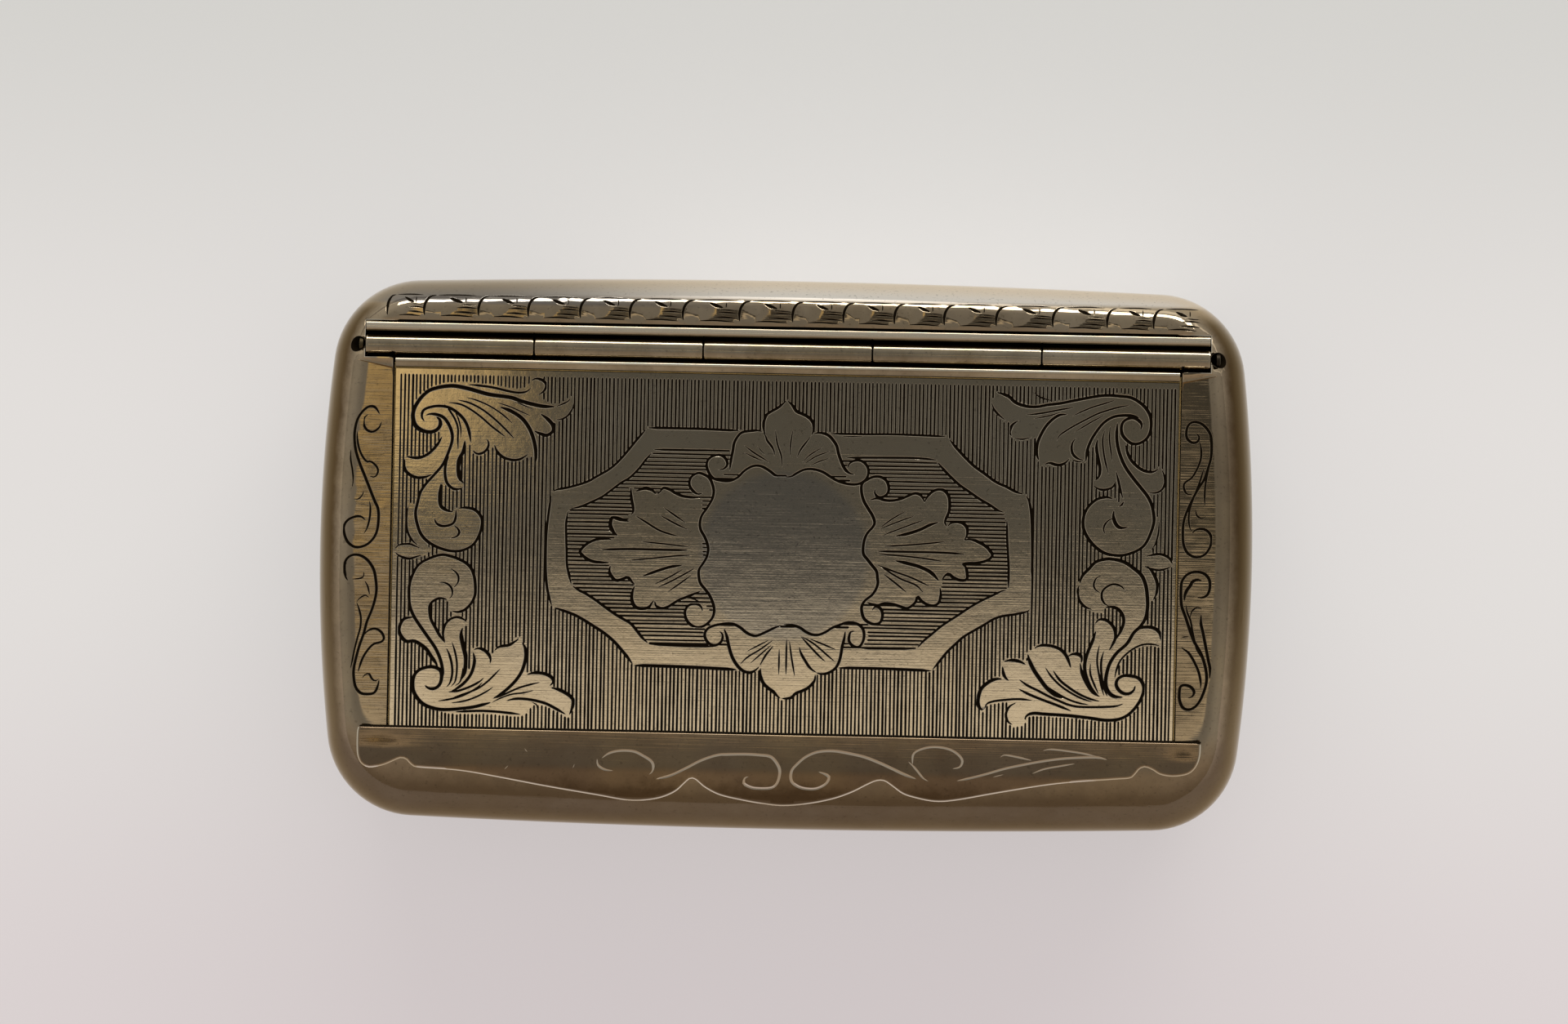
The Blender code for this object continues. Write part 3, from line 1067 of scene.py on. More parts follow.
@dataclass(frozen=True)
class Metal:
    """A finish of old silver: its clean colour, its tarnish, and how rough both are.

    Colours are linear, as the shader takes them. Where wall_share isn't nought, the finish browns and
    brightens by place, as on the case: tarnish and painted shade on the walls, and a painted highlight and
    painted shade on the rear shoulder.
    """

    name: str
    clean: Colour
    tarnish: Colour
    tarnish_share: float
    roughness: float
    dull_roughness: float
    dent: float = 0.05
    dent_depth: float = 1.6
    mottle: float = 0.10
    mottle_depth: float = 0.02
    scratch: float = 0.25
    scratch_scale: float = 0.9
    scratch_depth: float = 0.006
    stain_stops: tuple[Point, Point] = ((0.36, 0), (0.66, 1))
    warm_stops: tuple[Point, Point] = ((0.45, 0), (0.75, 1))
    pit_stops: tuple[Point, Point] = ((0.60, 0), (0.72, 1))
    oxide_groove: Point = (0.03, 0.28)
    worn_highlight_groove: Point = (-0.2, -0.9)
    mottle_share: float = 0.35
    warm: Colour = (0.60, 0.44, 0.20)
    warm_share: float = 0.2
    # The walls' brown is tarnish and also painted shade, standing in for the dark reflection of the walls;
    # it is lighter towards the front.
    wall_tarnish_and_shade: Colour = (0.060, 0.034, 0.014)
    wall_share: float = 0.0
    wall_band: Point = (17.9, 15.4)
    wall_mottle: float = 1.6
    front_wall: float = 0.78
    front_fade: Point = (-22, 4)
    rear_edge: Point = (23.2, 21.4)
    right_wall: Limits = ((Axis.X, 38.5, 40.5), (Axis.Y, -14, 2))
    # Where the rear shoulder is painted: its left dimmed as painted shade, its middle lightened as rubbed
    # metal and as a painted highlight.
    left_shoulder: Limits = ((Axis.Y, 22.1, 22.5), (Axis.Y, 24.9, 24.3), (Axis.X, 0, -22))
    rear_shoulder: Limits = ((Axis.Y, 22.9, 23.4), (Axis.X, -30, 2))
    hole_depth: float = 0.1
    hole_square: Point = (0.55, 0.47)
    shield_square: Point = (66, 50)
    edge_tint: Colour = (0.85, 0.76, 0.62)
    # The rear shoulder's lighter colour, which is rubbed metal and a painted highlight, then the painted
    # shade on its left.
    rubbed_and_highlit: Colour = (0.86, 0.82, 0.76)
    shoulder_shade: Colour = (0.27, 0.245, 0.215)
    # The darker colour of the upper right wall and how much of it is used.
    right_wall_dark: Colour = (0.030, 0.016, 0.007)
    right_wall_dark_share: float = 0.55
    pit: Colour = (0.035, 0.028, 0.018)
    pit_share: float = 0.35
    # The colour painted where the groove value is below 0: wear and a painted highlight.
    worn_highlight: Colour = (0.80, 0.72, 0.58)
    # The dark colour of the cuts, which is also painted into gaps and holes as shade.
    oxide_and_painted_shade: Colour = (0.010, 0.007, 0.004)
    oxide_roughness: float = 0.6
    centre: Colour | None = None
    bare_cuts: Colour | None = None
    bare_from: Point = (-16.2, -16.3)

    def make(self) -> bpy.types.Material:
        """Builds the material's nodes.

        Returns:
            The material.
        """
        material = bpy.data.materials.new(self.name)
        material.use_nodes = True
        graph = Graph(material.node_tree)
        where = graph.millimetres()
        clouds = graph.noise(where, scale=0.055, detail=5, roughness=0.62)
        mottle = graph.noise(where, scale=0.45, detail=6, roughness=0.7)
        specks = graph.noise(where, scale=3.2, detail=3, roughness=0.6)
        drift = graph.noise(where, scale=0.09, detail=3, roughness=0.5, shift=7.3)
        ripple = graph.noise(where, scale=0.16, detail=3, roughness=0.5, shift=3.1)
        blotch = graph.ramp(graph.blend_values(clouds, mottle, self.mottle_share), self.stain_stops)
        stained = graph.math("MULTIPLY", blotch, self.tarnish_share)
        pits = graph.ramp(specks, self.pit_stops)
        groove = graph.attribute("groove")
        oxide_and_painted_shade = graph.between(groove, *self.oxide_groove)
        warm_patch = graph.ramp(drift, self.warm_stops)
        colour = graph.mix_colour(self.clean, self.tarnish, stained)
        colour = graph.mix_colour(colour, self.warm, graph.math("MULTIPLY", warm_patch, self.warm_share))
        # Tarnish with painted shade and painted highlights by place, as on the case.
        if self.wall_share:
            colour = self.walls_tarnish_and_painted_light(graph, where, mottle, colour)
            # Painted shade on the walls of the pin holes.
            oxide_and_painted_shade = graph.math("MAXIMUM", oxide_and_painted_shade, self.in_pin_hole(graph, where))
        if self.centre:
            colour = graph.mix_colour(colour, self.centre, self.at_centre(graph, where))
        colour = graph.mix_colour(colour, self.pit, graph.math("MULTIPLY", pits, self.pit_share))
        # Painted bright where the groove value is below 0, as wear and as a highlight.
        colour = graph.mix_colour(colour, self.worn_highlight, graph.between(groove, *self.worn_highlight_groove))
        if self.bare_cuts:
            bare = graph.math("MULTIPLY", oxide_and_painted_shade, graph.between(graph.parts(where)[1], *self.bare_from))
            colour = graph.mix_colour(colour, self.bare_cuts, bare)
            oxide_and_painted_shade = graph.math("SUBTRACT", oxide_and_painted_shade, bare)
        rough = graph.blend_values(self.roughness, self.dull_roughness, stained)
        scratches = graph.scratches(where, self.scratch_scale)
        bump = graph.bump(ripple, self.dent, self.dent_depth)
        bump = graph.bump(mottle, self.mottle, self.mottle_depth, bump)
        bump = graph.bump(scratches, self.scratch, self.scratch_depth, bump)
        graph.shade("Base Color", graph.mix_colour(colour, self.oxide_and_painted_shade, oxide_and_painted_shade))
        graph.shade("Specular Tint", self.edge_tint)
        graph.shade("Metallic", graph.math("SUBTRACT", 1.0, oxide_and_painted_shade))
        graph.shade("Specular IOR Level", graph.blend_values(0.5, 0.0, oxide_and_painted_shade))
        graph.shade("Roughness", graph.blend_values(rough, self.oxide_roughness, oxide_and_painted_shade))
        graph.shade("Normal", bump)
        return material

    def walls_tarnish_and_painted_light(self, graph: "Graph", where: Socket, mottle: Socket, colour: Socket) -> Socket:
        """Browns the walls below the top, as tarnish and as painted shade for their dark reflection,
        darkens the upper right wall, dims the left of the rear shoulder as painted shade and lightens its
        rubbed middle as a painted highlight.

        Args:
            graph: The material's nodes.
            where: Coordinates in millimetres.
            mottle: A pattern that breaks the edge of the brown up.
            colour: The colour before.

        Returns:
            The colour after.
        """
        _, y, z = graph.parts(where)
        height = graph.math("ADD", z, graph.math("MULTIPLY", mottle, self.wall_mottle))
        brown = graph.between(height, *self.wall_band)
        brown = graph.math("MULTIPLY", brown, graph.between(y, *self.rear_edge))
        brown = graph.math("MULTIPLY", brown, self.wall_share)
        along = graph.blend_values(self.front_wall, 1.0, graph.between(y, *self.front_fade))
        colour = graph.mix_colour(colour, self.wall_tarnish_and_shade, graph.math("MULTIPLY", brown, along))
        # Darker on the upper right wall.
        deep = graph.math("MULTIPLY", graph.zone(where, self.right_wall), self.right_wall_dark_share)
        colour = graph.mix_colour(colour, self.right_wall_dark, deep)
        # Painted shade on the left of the rear shoulder, and a painted highlight with rubbed metal on its
        # middle.
        colour = graph.mix_colour(colour, self.shoulder_shade, graph.zone(where, self.left_shoulder))
        return graph.mix_colour(colour, self.rubbed_and_highlit, graph.zone(where, self.rear_shoulder))

    def in_pin_hole(self, graph: "Graph", where: Socket) -> Socket:
        """One on the walls of the holes at the ends of the hinge pin, which are painted dark as the shade
        inside them.
        """
        x, y, z = graph.parts(where)
        across = graph.math("SUBTRACT", y, PLAN.hinge_y)
        above = graph.math("SUBTRACT", z, PLAN.hinge_z)
        deep = PLAN.barrel_half + self.hole_depth
        beyond = graph.between(graph.math("ABSOLUTE", x, 0), PLAN.barrel_half, deep)
        near = graph.between(graph.square_sum(across, above), *self.hole_square)
        return graph.math("MULTIPLY", beyond, near)

    def at_centre(self, graph: "Graph", where: Socket) -> Socket:
        """One inside the plain shield at the middle of the lid."""
        x, y, _ = graph.parts(where)
        return graph.between(graph.square_sum(x, y), *self.shield_square)


class Graph:
    """Short ways to lay nodes in one material's tree."""

    def __init__(self, tree: bpy.types.NodeTree) -> None:
        """Finds the tree's shader."""
        self.tree = tree
        self.shader = tree.nodes.get("Principled BSDF") or tree.nodes["Background"]

    def shade(self, socket: str, value: object) -> None:
        """Sets or links one of the shader's sockets."""
        self.feed(self.shader.inputs[socket], value)

    def feed(self, socket: Socket, value: object) -> None:
        """Sets a socket, or links it where the value is an output.

        Args:
            socket: The input.
            value: An output socket, a number or a colour.
        """
        if isinstance(value, Socket):
            self.tree.links.new(value, socket)
        elif socket.type == "RGBA":
            socket.default_value = (*value, 1)
        else:
            socket.default_value = value

    def node(self, kind: str, values: dict[str | int, object], **settings: object) -> bpy.types.Node:
        """Lays a node.

        Args:
            kind: Its type.
            values: What goes into its inputs, by name or place.
            settings: Its other properties.

        Returns:
            The node.
        """
        node = self.tree.nodes.new(kind)
        for name, value in settings.items():
            setattr(node, name, value)
        for socket, value in values.items():
            self.feed(node.inputs[socket], value)
        return node

    def millimetres(self) -> Socket:
        """Object coordinates in millimetres."""
        values = {0: self.node("ShaderNodeTexCoord", {}).outputs["Object"], "Scale": 1 / MM}
        return self.node("ShaderNodeVectorMath", values, operation="SCALE").outputs[0]

    def parts(self, vector: Socket) -> tuple[Socket, ...]:
        """The X, Y and Z of a vector."""
        return tuple(self.node("ShaderNodeSeparateXYZ", {0: vector}).outputs)

    def between(self, value: object, start: float, stop: float) -> Socket:
        """How far a number is on its way from one value to another, held between 0 and 1."""
        limits = {"Value": value, "From Min": start, "From Max": stop}
        return self.node("ShaderNodeMapRange", limits, interpolation_type="SMOOTHSTEP").outputs["Result"]

    def zone(self, where: Socket, limits: Limits) -> Socket:
        """A soft-edged area that is 1 where every limit is passed.

        Args:
            where: Coordinates in millimetres.
            limits: For each an axis, where the area starts along it and where it is full.

        Returns:
            The share of each place.
        """
        parts = self.parts(where)
        first, *others = (self.between(parts[axis.value], start, full) for axis, start, full in limits)
        for share in others:
            first = self.math("MULTIPLY", first, share)
        return first

    def mirrored_rays(self) -> Socket:
        """One for rays that show a surface in metal or glass."""
        rays = self.node("ShaderNodeLightPath", {}).outputs
        return self.math("MAXIMUM", rays["Is Glossy Ray"], rays["Is Transmission Ray"])

    def shown_rays(self) -> Socket:
        """One for rays that show a surface, straight or in metal or glass, and nought for its light."""
        rays = self.node("ShaderNodeLightPath", {}).outputs
        return self.math("MAXIMUM", rays["Is Camera Ray"], self.mirrored_rays())

    def noise(
        self, where: Socket, scale: float, detail: float, roughness: float, shift: float = 0
    ) -> Socket:
        """A noise pattern.

        Args:
            where: Coordinates in millimetres.
            scale: Waves to the millimetre.
            detail: How many finer layers it has.
            roughness: How strong they are.
            shift: Moves the pattern, so that two don't match.

        Returns:
            The pattern's value.
        """
        if shift:
            moved = {0: where, 1: (shift, shift, shift)}
            where = self.node("ShaderNodeVectorMath", moved, operation="ADD").outputs[0]
        values = {"Vector": where, "Scale": scale, "Detail": detail, "Roughness": roughness}
        return self.node("ShaderNodeTexNoise", values).outputs["Fac"]

    def math(self, operation: str, first: object, second: object) -> Socket:
        """A sum, product or other function of two numbers."""
        return self.node("ShaderNodeMath", {0: first, 1: second}, operation=operation).outputs[0]

    def square_sum(self, first: Socket, second: Socket) -> Socket:
        """The sum of the squares of two numbers."""
        return self.math("ADD", self.math("MULTIPLY", first, first), self.math("MULTIPLY", second, second))

    def blend_values(self, first: object, second: object, share: object) -> Socket:
        """A number between two others."""
        return self.node("ShaderNodeMix", {"Factor": share, 2: first, 3: second}).outputs[0]

    def mix_colour(self, first: object, second: object, share: object) -> Socket:
        """A colour between two others."""
        values = {"Factor": share, 6: first, 7: second}
        return self.node("ShaderNodeMix", values, data_type="RGBA").outputs[2]

    def ramp(self, value: Socket, stops: Sequence[Point]) -> Socket:
        """Maps a number through straight stretches between stops.

        Args:
            value: The number.
            stops: Pairs of a place on the way from 0 to 1 and the value there.

        Returns:
            The mapped value.
        """
        node = self.node("ShaderNodeValToRGB", {"Fac": value})
        band = node.color_ramp
        for _ in stops[2:]:
            band.elements.new(0.5)
        for element, (place, level) in zip(band.elements, stops):
            element.position = place
            element.color = (level, level, level, 1)
        return node.outputs["Color"]

    def attribute(self, name: str) -> Socket:
        """A number kept at each point of the mesh."""
        return self.node("ShaderNodeAttribute", {}, attribute_name=name).outputs["Fac"]

    def scratches(self, where: Socket, scale: float) -> Socket:
        """Fine scratches that run in all directions, as a sum of stretched noises.

        Args:
            where: Coordinates in millimetres.
            scale: Waves to the millimetre along a scratch.

        Returns:
            The pattern's value.
        """
        total = None
        for degrees in (8, 67, 128):
            turned = {"Vector": where, "Rotation": (0, 0, math.radians(degrees)), "Scale": (0.12, 9.0, 1.0)}
            layer = self.noise(self.node("ShaderNodeMapping", turned).outputs[0], scale, 2, 0.5, degrees)
            total = layer if total is None else self.math("ADD", total, layer)
        return total

    def bump(
        self, height: Socket, strength: float, distance: float, normal: Socket | None = None
    ) -> Socket:
        """A bump from a height pattern.

        Args:
            height: The pattern.
            strength: How much of it is used.
            distance: The height in millimetres of a value of one.
            normal: The normal that it starts from.

        Returns:
            The bumped normal.
        """
        values = {"Height": height, "Strength": strength, "Distance": distance * MM}
        if normal is not None:
            values["Normal"] = normal
        return self.node("ShaderNodeBump", values).outputs[0]


@dataclass(frozen=True)
class PhotoCamera:
    """The camera at the photograph's viewing angle, fitted to the corners of the lid."""

    turn: tuple[float, float, float] = (0.010533, -0.022212, -0.020039)
    target_height: float = 9.0
    distance: float = 900.0
    focal_pixels: float = 12089.0
    image_width: float = 1920.0
    image_height: float = 1254.0
    centre_x: float = 962.06
    centre_y: float = 680.0
    sensor: float = 36.0
    clip_end: float = 10.0

    def place(self) -> None:
        """Makes the camera and sets it as the scene's."""
        data = bpy.data.cameras.new("photo_camera")
        data.sensor_width = self.sensor
        data.lens = self.focal_pixels * self.sensor / self.image_width
        data.shift_x = (self.image_width / 2 - self.centre_x) / self.image_width
        data.shift_y = (self.centre_y - self.image_height / 2) / self.image_width
        data.clip_end = self.clip_end
        x, y, z = self.turn
        world_to_view = Matrix.Rotation(z, 4, "Z") @ Matrix.Rotation(y, 4, "Y") @ Matrix.Rotation(x, 4, "X")
        view_to_world = world_to_view.transposed()
        target = Vector((0, 0, self.target_height * MM))
        place = target + view_to_world @ Vector((0, 0, self.distance * MM))
        camera = bpy.data.objects.new("photo_camera", data)
        camera.matrix_world = Matrix.Translation(place) @ view_to_world
        bpy.context.scene.collection.objects.link(camera)
        bpy.context.scene.camera = camera


@dataclass(frozen=True)
class Studio:
    """A pale floor, a soft lamp low behind the box, and a world with a grey patch overhead.

    The floor's bands are millimetres along or across it, the lamp's sizes are metres, and the
    world's limits are parts of a unit direction.
    """

    floor_half: float = 1200.0
    floor_drop: float = 0.02
    floor_colour: Colour = (0.44, 0.43, 0.42)
    floor_glow: tuple[Colour, ...] = ((0.46, 0.418, 0.435), (0.51, 0.499, 0.497), (0.38, 0.387, 0.38))
    front_band: Point = (-44, 0)
    rear_band: Point = (10, 60)
    floor_far: tuple[Colour, ...] = ((0.10, 0.10, 0.11), (1.0, 0.98, 0.94))
    far_start: Point = (72, 84)
    far_end: Point = (260, 190)
    far_across: Point = (-40, 8)
    lamp_place: tuple[float, float, float] = (0.14, 0.95, 0.30)
    lamp_target: tuple[float, float, float] = (0, 0, 0.01)
    lamp_size: Point = (1.3, 0.34)
    lamp_watts: float = 7.5
    lamp_colour: Colour = (1.0, 0.98, 0.94)
    sky_levels: tuple[Point, ...] = ((0.0, 0.55), (0.35, 0.50), (0.75, 0.42), (0.97, 0.30))
    sky_rear: Colour = (1.0, 0.97, 0.92)
    sky_front: Colour = (0.95, 0.80, 0.66)
    sky_turn: Point = (-0.1, -0.7)
    overhead_cool: Colour = (0.092, 0.089, 0.080)
    overhead_warm: Colour = (0.295, 0.262, 0.215)
    overhead_bright: Colour = (0.75, 0.665, 0.53)
    overhead_gold: Colour = (0.78, 0.60, 0.31)
    bright_band: Point = (-0.016, -0.026)
    split_band: Point = (-0.0148 + 0.0016, -0.0148 - 0.0016)
    gold_across: Point = (-0.046, -0.062)
    gold_along: Point = (-0.006, 0.001)
    patch_across: Point = (0.16, 0.10)
    patch_middle: float = 0.012
    patch_along: Point = (0.075, 0.045)
    patch_up: Point = (0.9, 0.95)

    def make(self) -> None:
        """Builds the floor, the lamp and the world."""
        self.floor()
        self.lamp()
        self.world()
        bpy.context.scene.view_settings.view_transform = "Standard"

    def floor(self) -> None:
        """The floor, which isn't part of the box: paper that also glows where it is seen."""
        half = self.floor_half * MM
        mesh = bpy.data.meshes.new("floor")
        corners = [(-half, -half, 0), (half, -half, 0), (half, half, 0), (-half, half, 0)]
        mesh.from_pydata(corners, [], [(0, 1, 2, 3)])
        material = bpy.data.materials.new("floor_paper")
        material.use_nodes = True
        graph = Graph(material.node_tree)
        across, along, _ = graph.parts(graph.millimetres())
        front, middle, rear = self.floor_glow
        glow = graph.mix_colour(front, middle, graph.between(along, *self.front_band))
        glow = graph.mix_colour(glow, rear, graph.between(along, *self.rear_band))
        # Far behind the box the floor glows only in reflections, dark to the left and white to the right,
        # to put a highlight along the rear shoulder.
        far = graph.between(along, *self.far_start)
        far = graph.math("MULTIPLY", far, graph.between(along, *self.far_end))
        far = graph.math("MULTIPLY", far, graph.mirrored_rays())
        beyond = graph.mix_colour(*self.floor_far, graph.between(across, *self.far_across))
        graph.shade("Base Color", self.floor_colour)
        graph.shade("Roughness", 0.9)
        graph.shade("Specular IOR Level", 0.1)
        graph.shade("Emission Color", graph.mix_colour(glow, beyond, far))
        graph.shade("Emission Strength", graph.shown_rays())
        mesh.materials.append(material)
        obj = bpy.data.objects.new("floor", mesh)
        obj.location.z = -self.floor_drop * MM
        bpy.context.scene.collection.objects.link(obj)

    def lamp(self) -> None:
        """The area lamp behind the box."""
        data = bpy.data.lights.new("rear_softbox", "AREA")
        data.shape = "RECTANGLE"
        data.size, data.size_y = self.lamp_size
        data.energy = self.lamp_watts
        data.color = self.lamp_colour
        obj = bpy.data.objects.new("rear_softbox", data)
        obj.location = self.lamp_place
        towards = Vector(self.lamp_target) - Vector(self.lamp_place)
        obj.rotation_euler = towards.to_track_quat("-Z", "Y").to_euler()
        bpy.context.scene.collection.objects.link(obj)

    def world(self) -> None:
        """The surroundings: pale low down, dimmer higher up, with the patch that the flat lid mirrors."""
        world = bpy.data.worlds.new("studio")
        bpy.context.scene.world = world
        world.use_nodes = True
        graph = Graph(world.node_tree)
        x, y, z = graph.parts(graph.node("ShaderNodeTexCoord", {}).outputs["Generated"])
        ahead = graph.mix_colour(self.sky_rear, self.sky_front, graph.between(y, *self.sky_turn))
        around = graph.mix_colour((0, 0, 0), ahead, graph.ramp(z, self.sky_levels))
        bright = graph.between(y, *self.bright_band)
        overhead = graph.mix_colour(self.overhead_warm, self.overhead_bright, bright)
        overhead = graph.mix_colour(self.overhead_cool, overhead, graph.between(y, *self.split_band))
        corner = graph.between(x, *self.gold_across)
        corner = graph.math("MULTIPLY", corner, graph.between(y, *self.gold_along))
        overhead = graph.mix_colour(overhead, self.overhead_gold, corner)
        aside = graph.between(graph.math("ABSOLUTE", x, 0), *self.patch_across)
        away = graph.math("ABSOLUTE", graph.math("ADD", y, self.patch_middle), 0)
        mask = graph.math("MULTIPLY", aside, graph.between(away, *self.patch_along))
        mask = graph.math("MULTIPLY", mask, graph.between(z, *self.patch_up))
        graph.shade("Color", graph.mix_colour(around, overhead, mask))


@dataclass(frozen=True)
class Finishes:
    """The box's materials."""

    case: bpy.types.Material
    lid: bpy.types.Material
    hinge: bpy.types.Material
    thumb: bpy.types.Material
    gilt: bpy.types.Material
    pin: bpy.types.Material

    @staticmethod
    def make() -> "Finishes":
        """Builds them all."""
        case = Metal(
            "case_tarnish_and_painted_light",
            clean=(0.52, 0.43, 0.31),
            tarnish=(0.26, 0.19, 0.11),
            tarnish_share=0.6,
            roughness=0.035,
            dull_roughness=0.09,
            dent=0.02,
            wall_share=0.97,
        )
        lid = Metal(
            "rubbed_lid",
            clean=(0.76, 0.665, 0.52),
            tarnish=(0.61, 0.51, 0.375),
            tarnish_share=0.5,
            roughness=0.03,
            dull_roughness=0.06,
            dent=0.002,
            scratch=0.06,
            centre=(0.59, 0.54, 0.465),
        )
        # The thumbpiece browns towards its lower edge, as tarnish and as painted shade, like the case's
        # walls.
        thumb = Metal(
            "thumb_tarnish_and_painted_light",
            clean=(0.27, 0.20, 0.13),
            tarnish=(0.16, 0.108, 0.066),
            tarnish_share=0.7,
            roughness=0.06,
            dull_roughness=0.14,
            dent=0.02,
            wall_share=1.0,
            wall_band=(18.1, 16.9),
            bare_cuts=(0.60, 0.51, 0.40),
        )
        hinge = Metal(
            "hinge_rubbed_and_highlit",
            clean=(0.48, 0.42, 0.32),
            tarnish=(0.16, 0.12, 0.07),
            tarnish_share=0.85,
            roughness=0.1,
            dull_roughness=0.22,
        )
        gilt = Metal(
            "worn_gilding",
            clean=(0.8, 0.58, 0.26),
            tarnish=(0.48, 0.33, 0.15),
            tarnish_share=0.5,
            roughness=0.2,
            dull_roughness=0.32,
        )
        # The pin and its plugs are nearly black: painted shade in the holes at the pin's ends.
        pin = Metal(
            "pin_in_painted_shade",
            clean=(0.03, 0.025, 0.02),
            tarnish=(0.012, 0.01, 0.008),
            tarnish_share=0.8,
            roughness=0.45,
            dull_roughness=0.7,
        )
        return Finishes(*(metal.make() for metal in (case, lid, hinge, thumb, gilt, pin)))


@dataclass
class Lid:
    """The lid: its engraved plate, the rib along its rear, the bezel under it and the thumbpiece."""

    finishes: Finishes
    engraving: Engraving
    thumb_engraving: Engraving
    edge_break: float = 0.05
    spacing: float = 0.5
    bezel_width: float = 0.6
    rib_front: float = 16.45
    # The third value is the groove value: below 0 along the crest, painted bright as wear and as a
    # highlight, and above 0 at the front foot, painted dark as shade beside the plate.
    rib_top: tuple[tuple[float, float, float], ...] = (
        (17.27, 16.87, 0), (17.18, 16.96, -0.6), (17.06, 17.0, -1), (16.94, 16.96, 0), (16.82, 16.86, 0),
        (16.66, 16.74, 0), (16.52, 16.66, 0.1), (16.45, 16.60, 0.5),
    )
    rib_shoulder: float = 16.74

    def make(self) -> None:
        """Builds the lid's pieces."""
        finishes = self.finishes
        plate = Piece("plate", ("lid_plate",), Body.LID, Slot.RUBBED, (finishes.lid, finishes.gilt))
        plate.place(self.plate().make("plate"))
        rib = Piece("hinge_rib", ("lid_rib",), Body.LID, Slot.RUBBED, (finishes.hinge,))
        rib.place(self.rib().make("hinge_rib"))
        bezel = Piece("bezel", ("lid_bezel",), Body.LID, Slot.GILT, (finishes.gilt,))
        bezel.place(RimFrame("lid_bezel", self.bezel_width).make("bezel"))
        thumb = Piece("thumb_plate", ("thumbpiece",), Body.LID, Slot.TARNISHED, (finishes.thumb,) * 2)
        thumb.place(Thumbpiece().make("thumb_plate", self.thumb_engraving))

    def plate(self) -> EngravedSheet:
        """The flat engraved plate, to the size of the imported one."""
        low, high = node_box("lid_plate")
        soft = self.edge_break
        return EngravedSheet(
            outline=rectangle(high[0], low[1], high[1], self.spacing),
            inset=rectangle(high[0] - soft, low[1] + soft, high[1] - soft, self.spacing),
            surface=lambda points: np.full(len(points), high[2]),
            thickness=high[2] - low[2],
            chamfer=soft,
            engraving=self.engraving,
            # The plate's edge takes the dark cut colour all round: painted shade in the gap round the lid.
            rim=lambda points: np.ones(len(points)),
        )

    def rib(self) -> Bar:
        """The moulded rib in front of the hinge."""
        low, high = node_box("lid_rib")
        foot = ((self.rib_front, low[2], 0), (high[1], low[2], 0), (high[1], self.rib_shoulder, 0))
        return Bar(foot + self.rib_top, high[0])


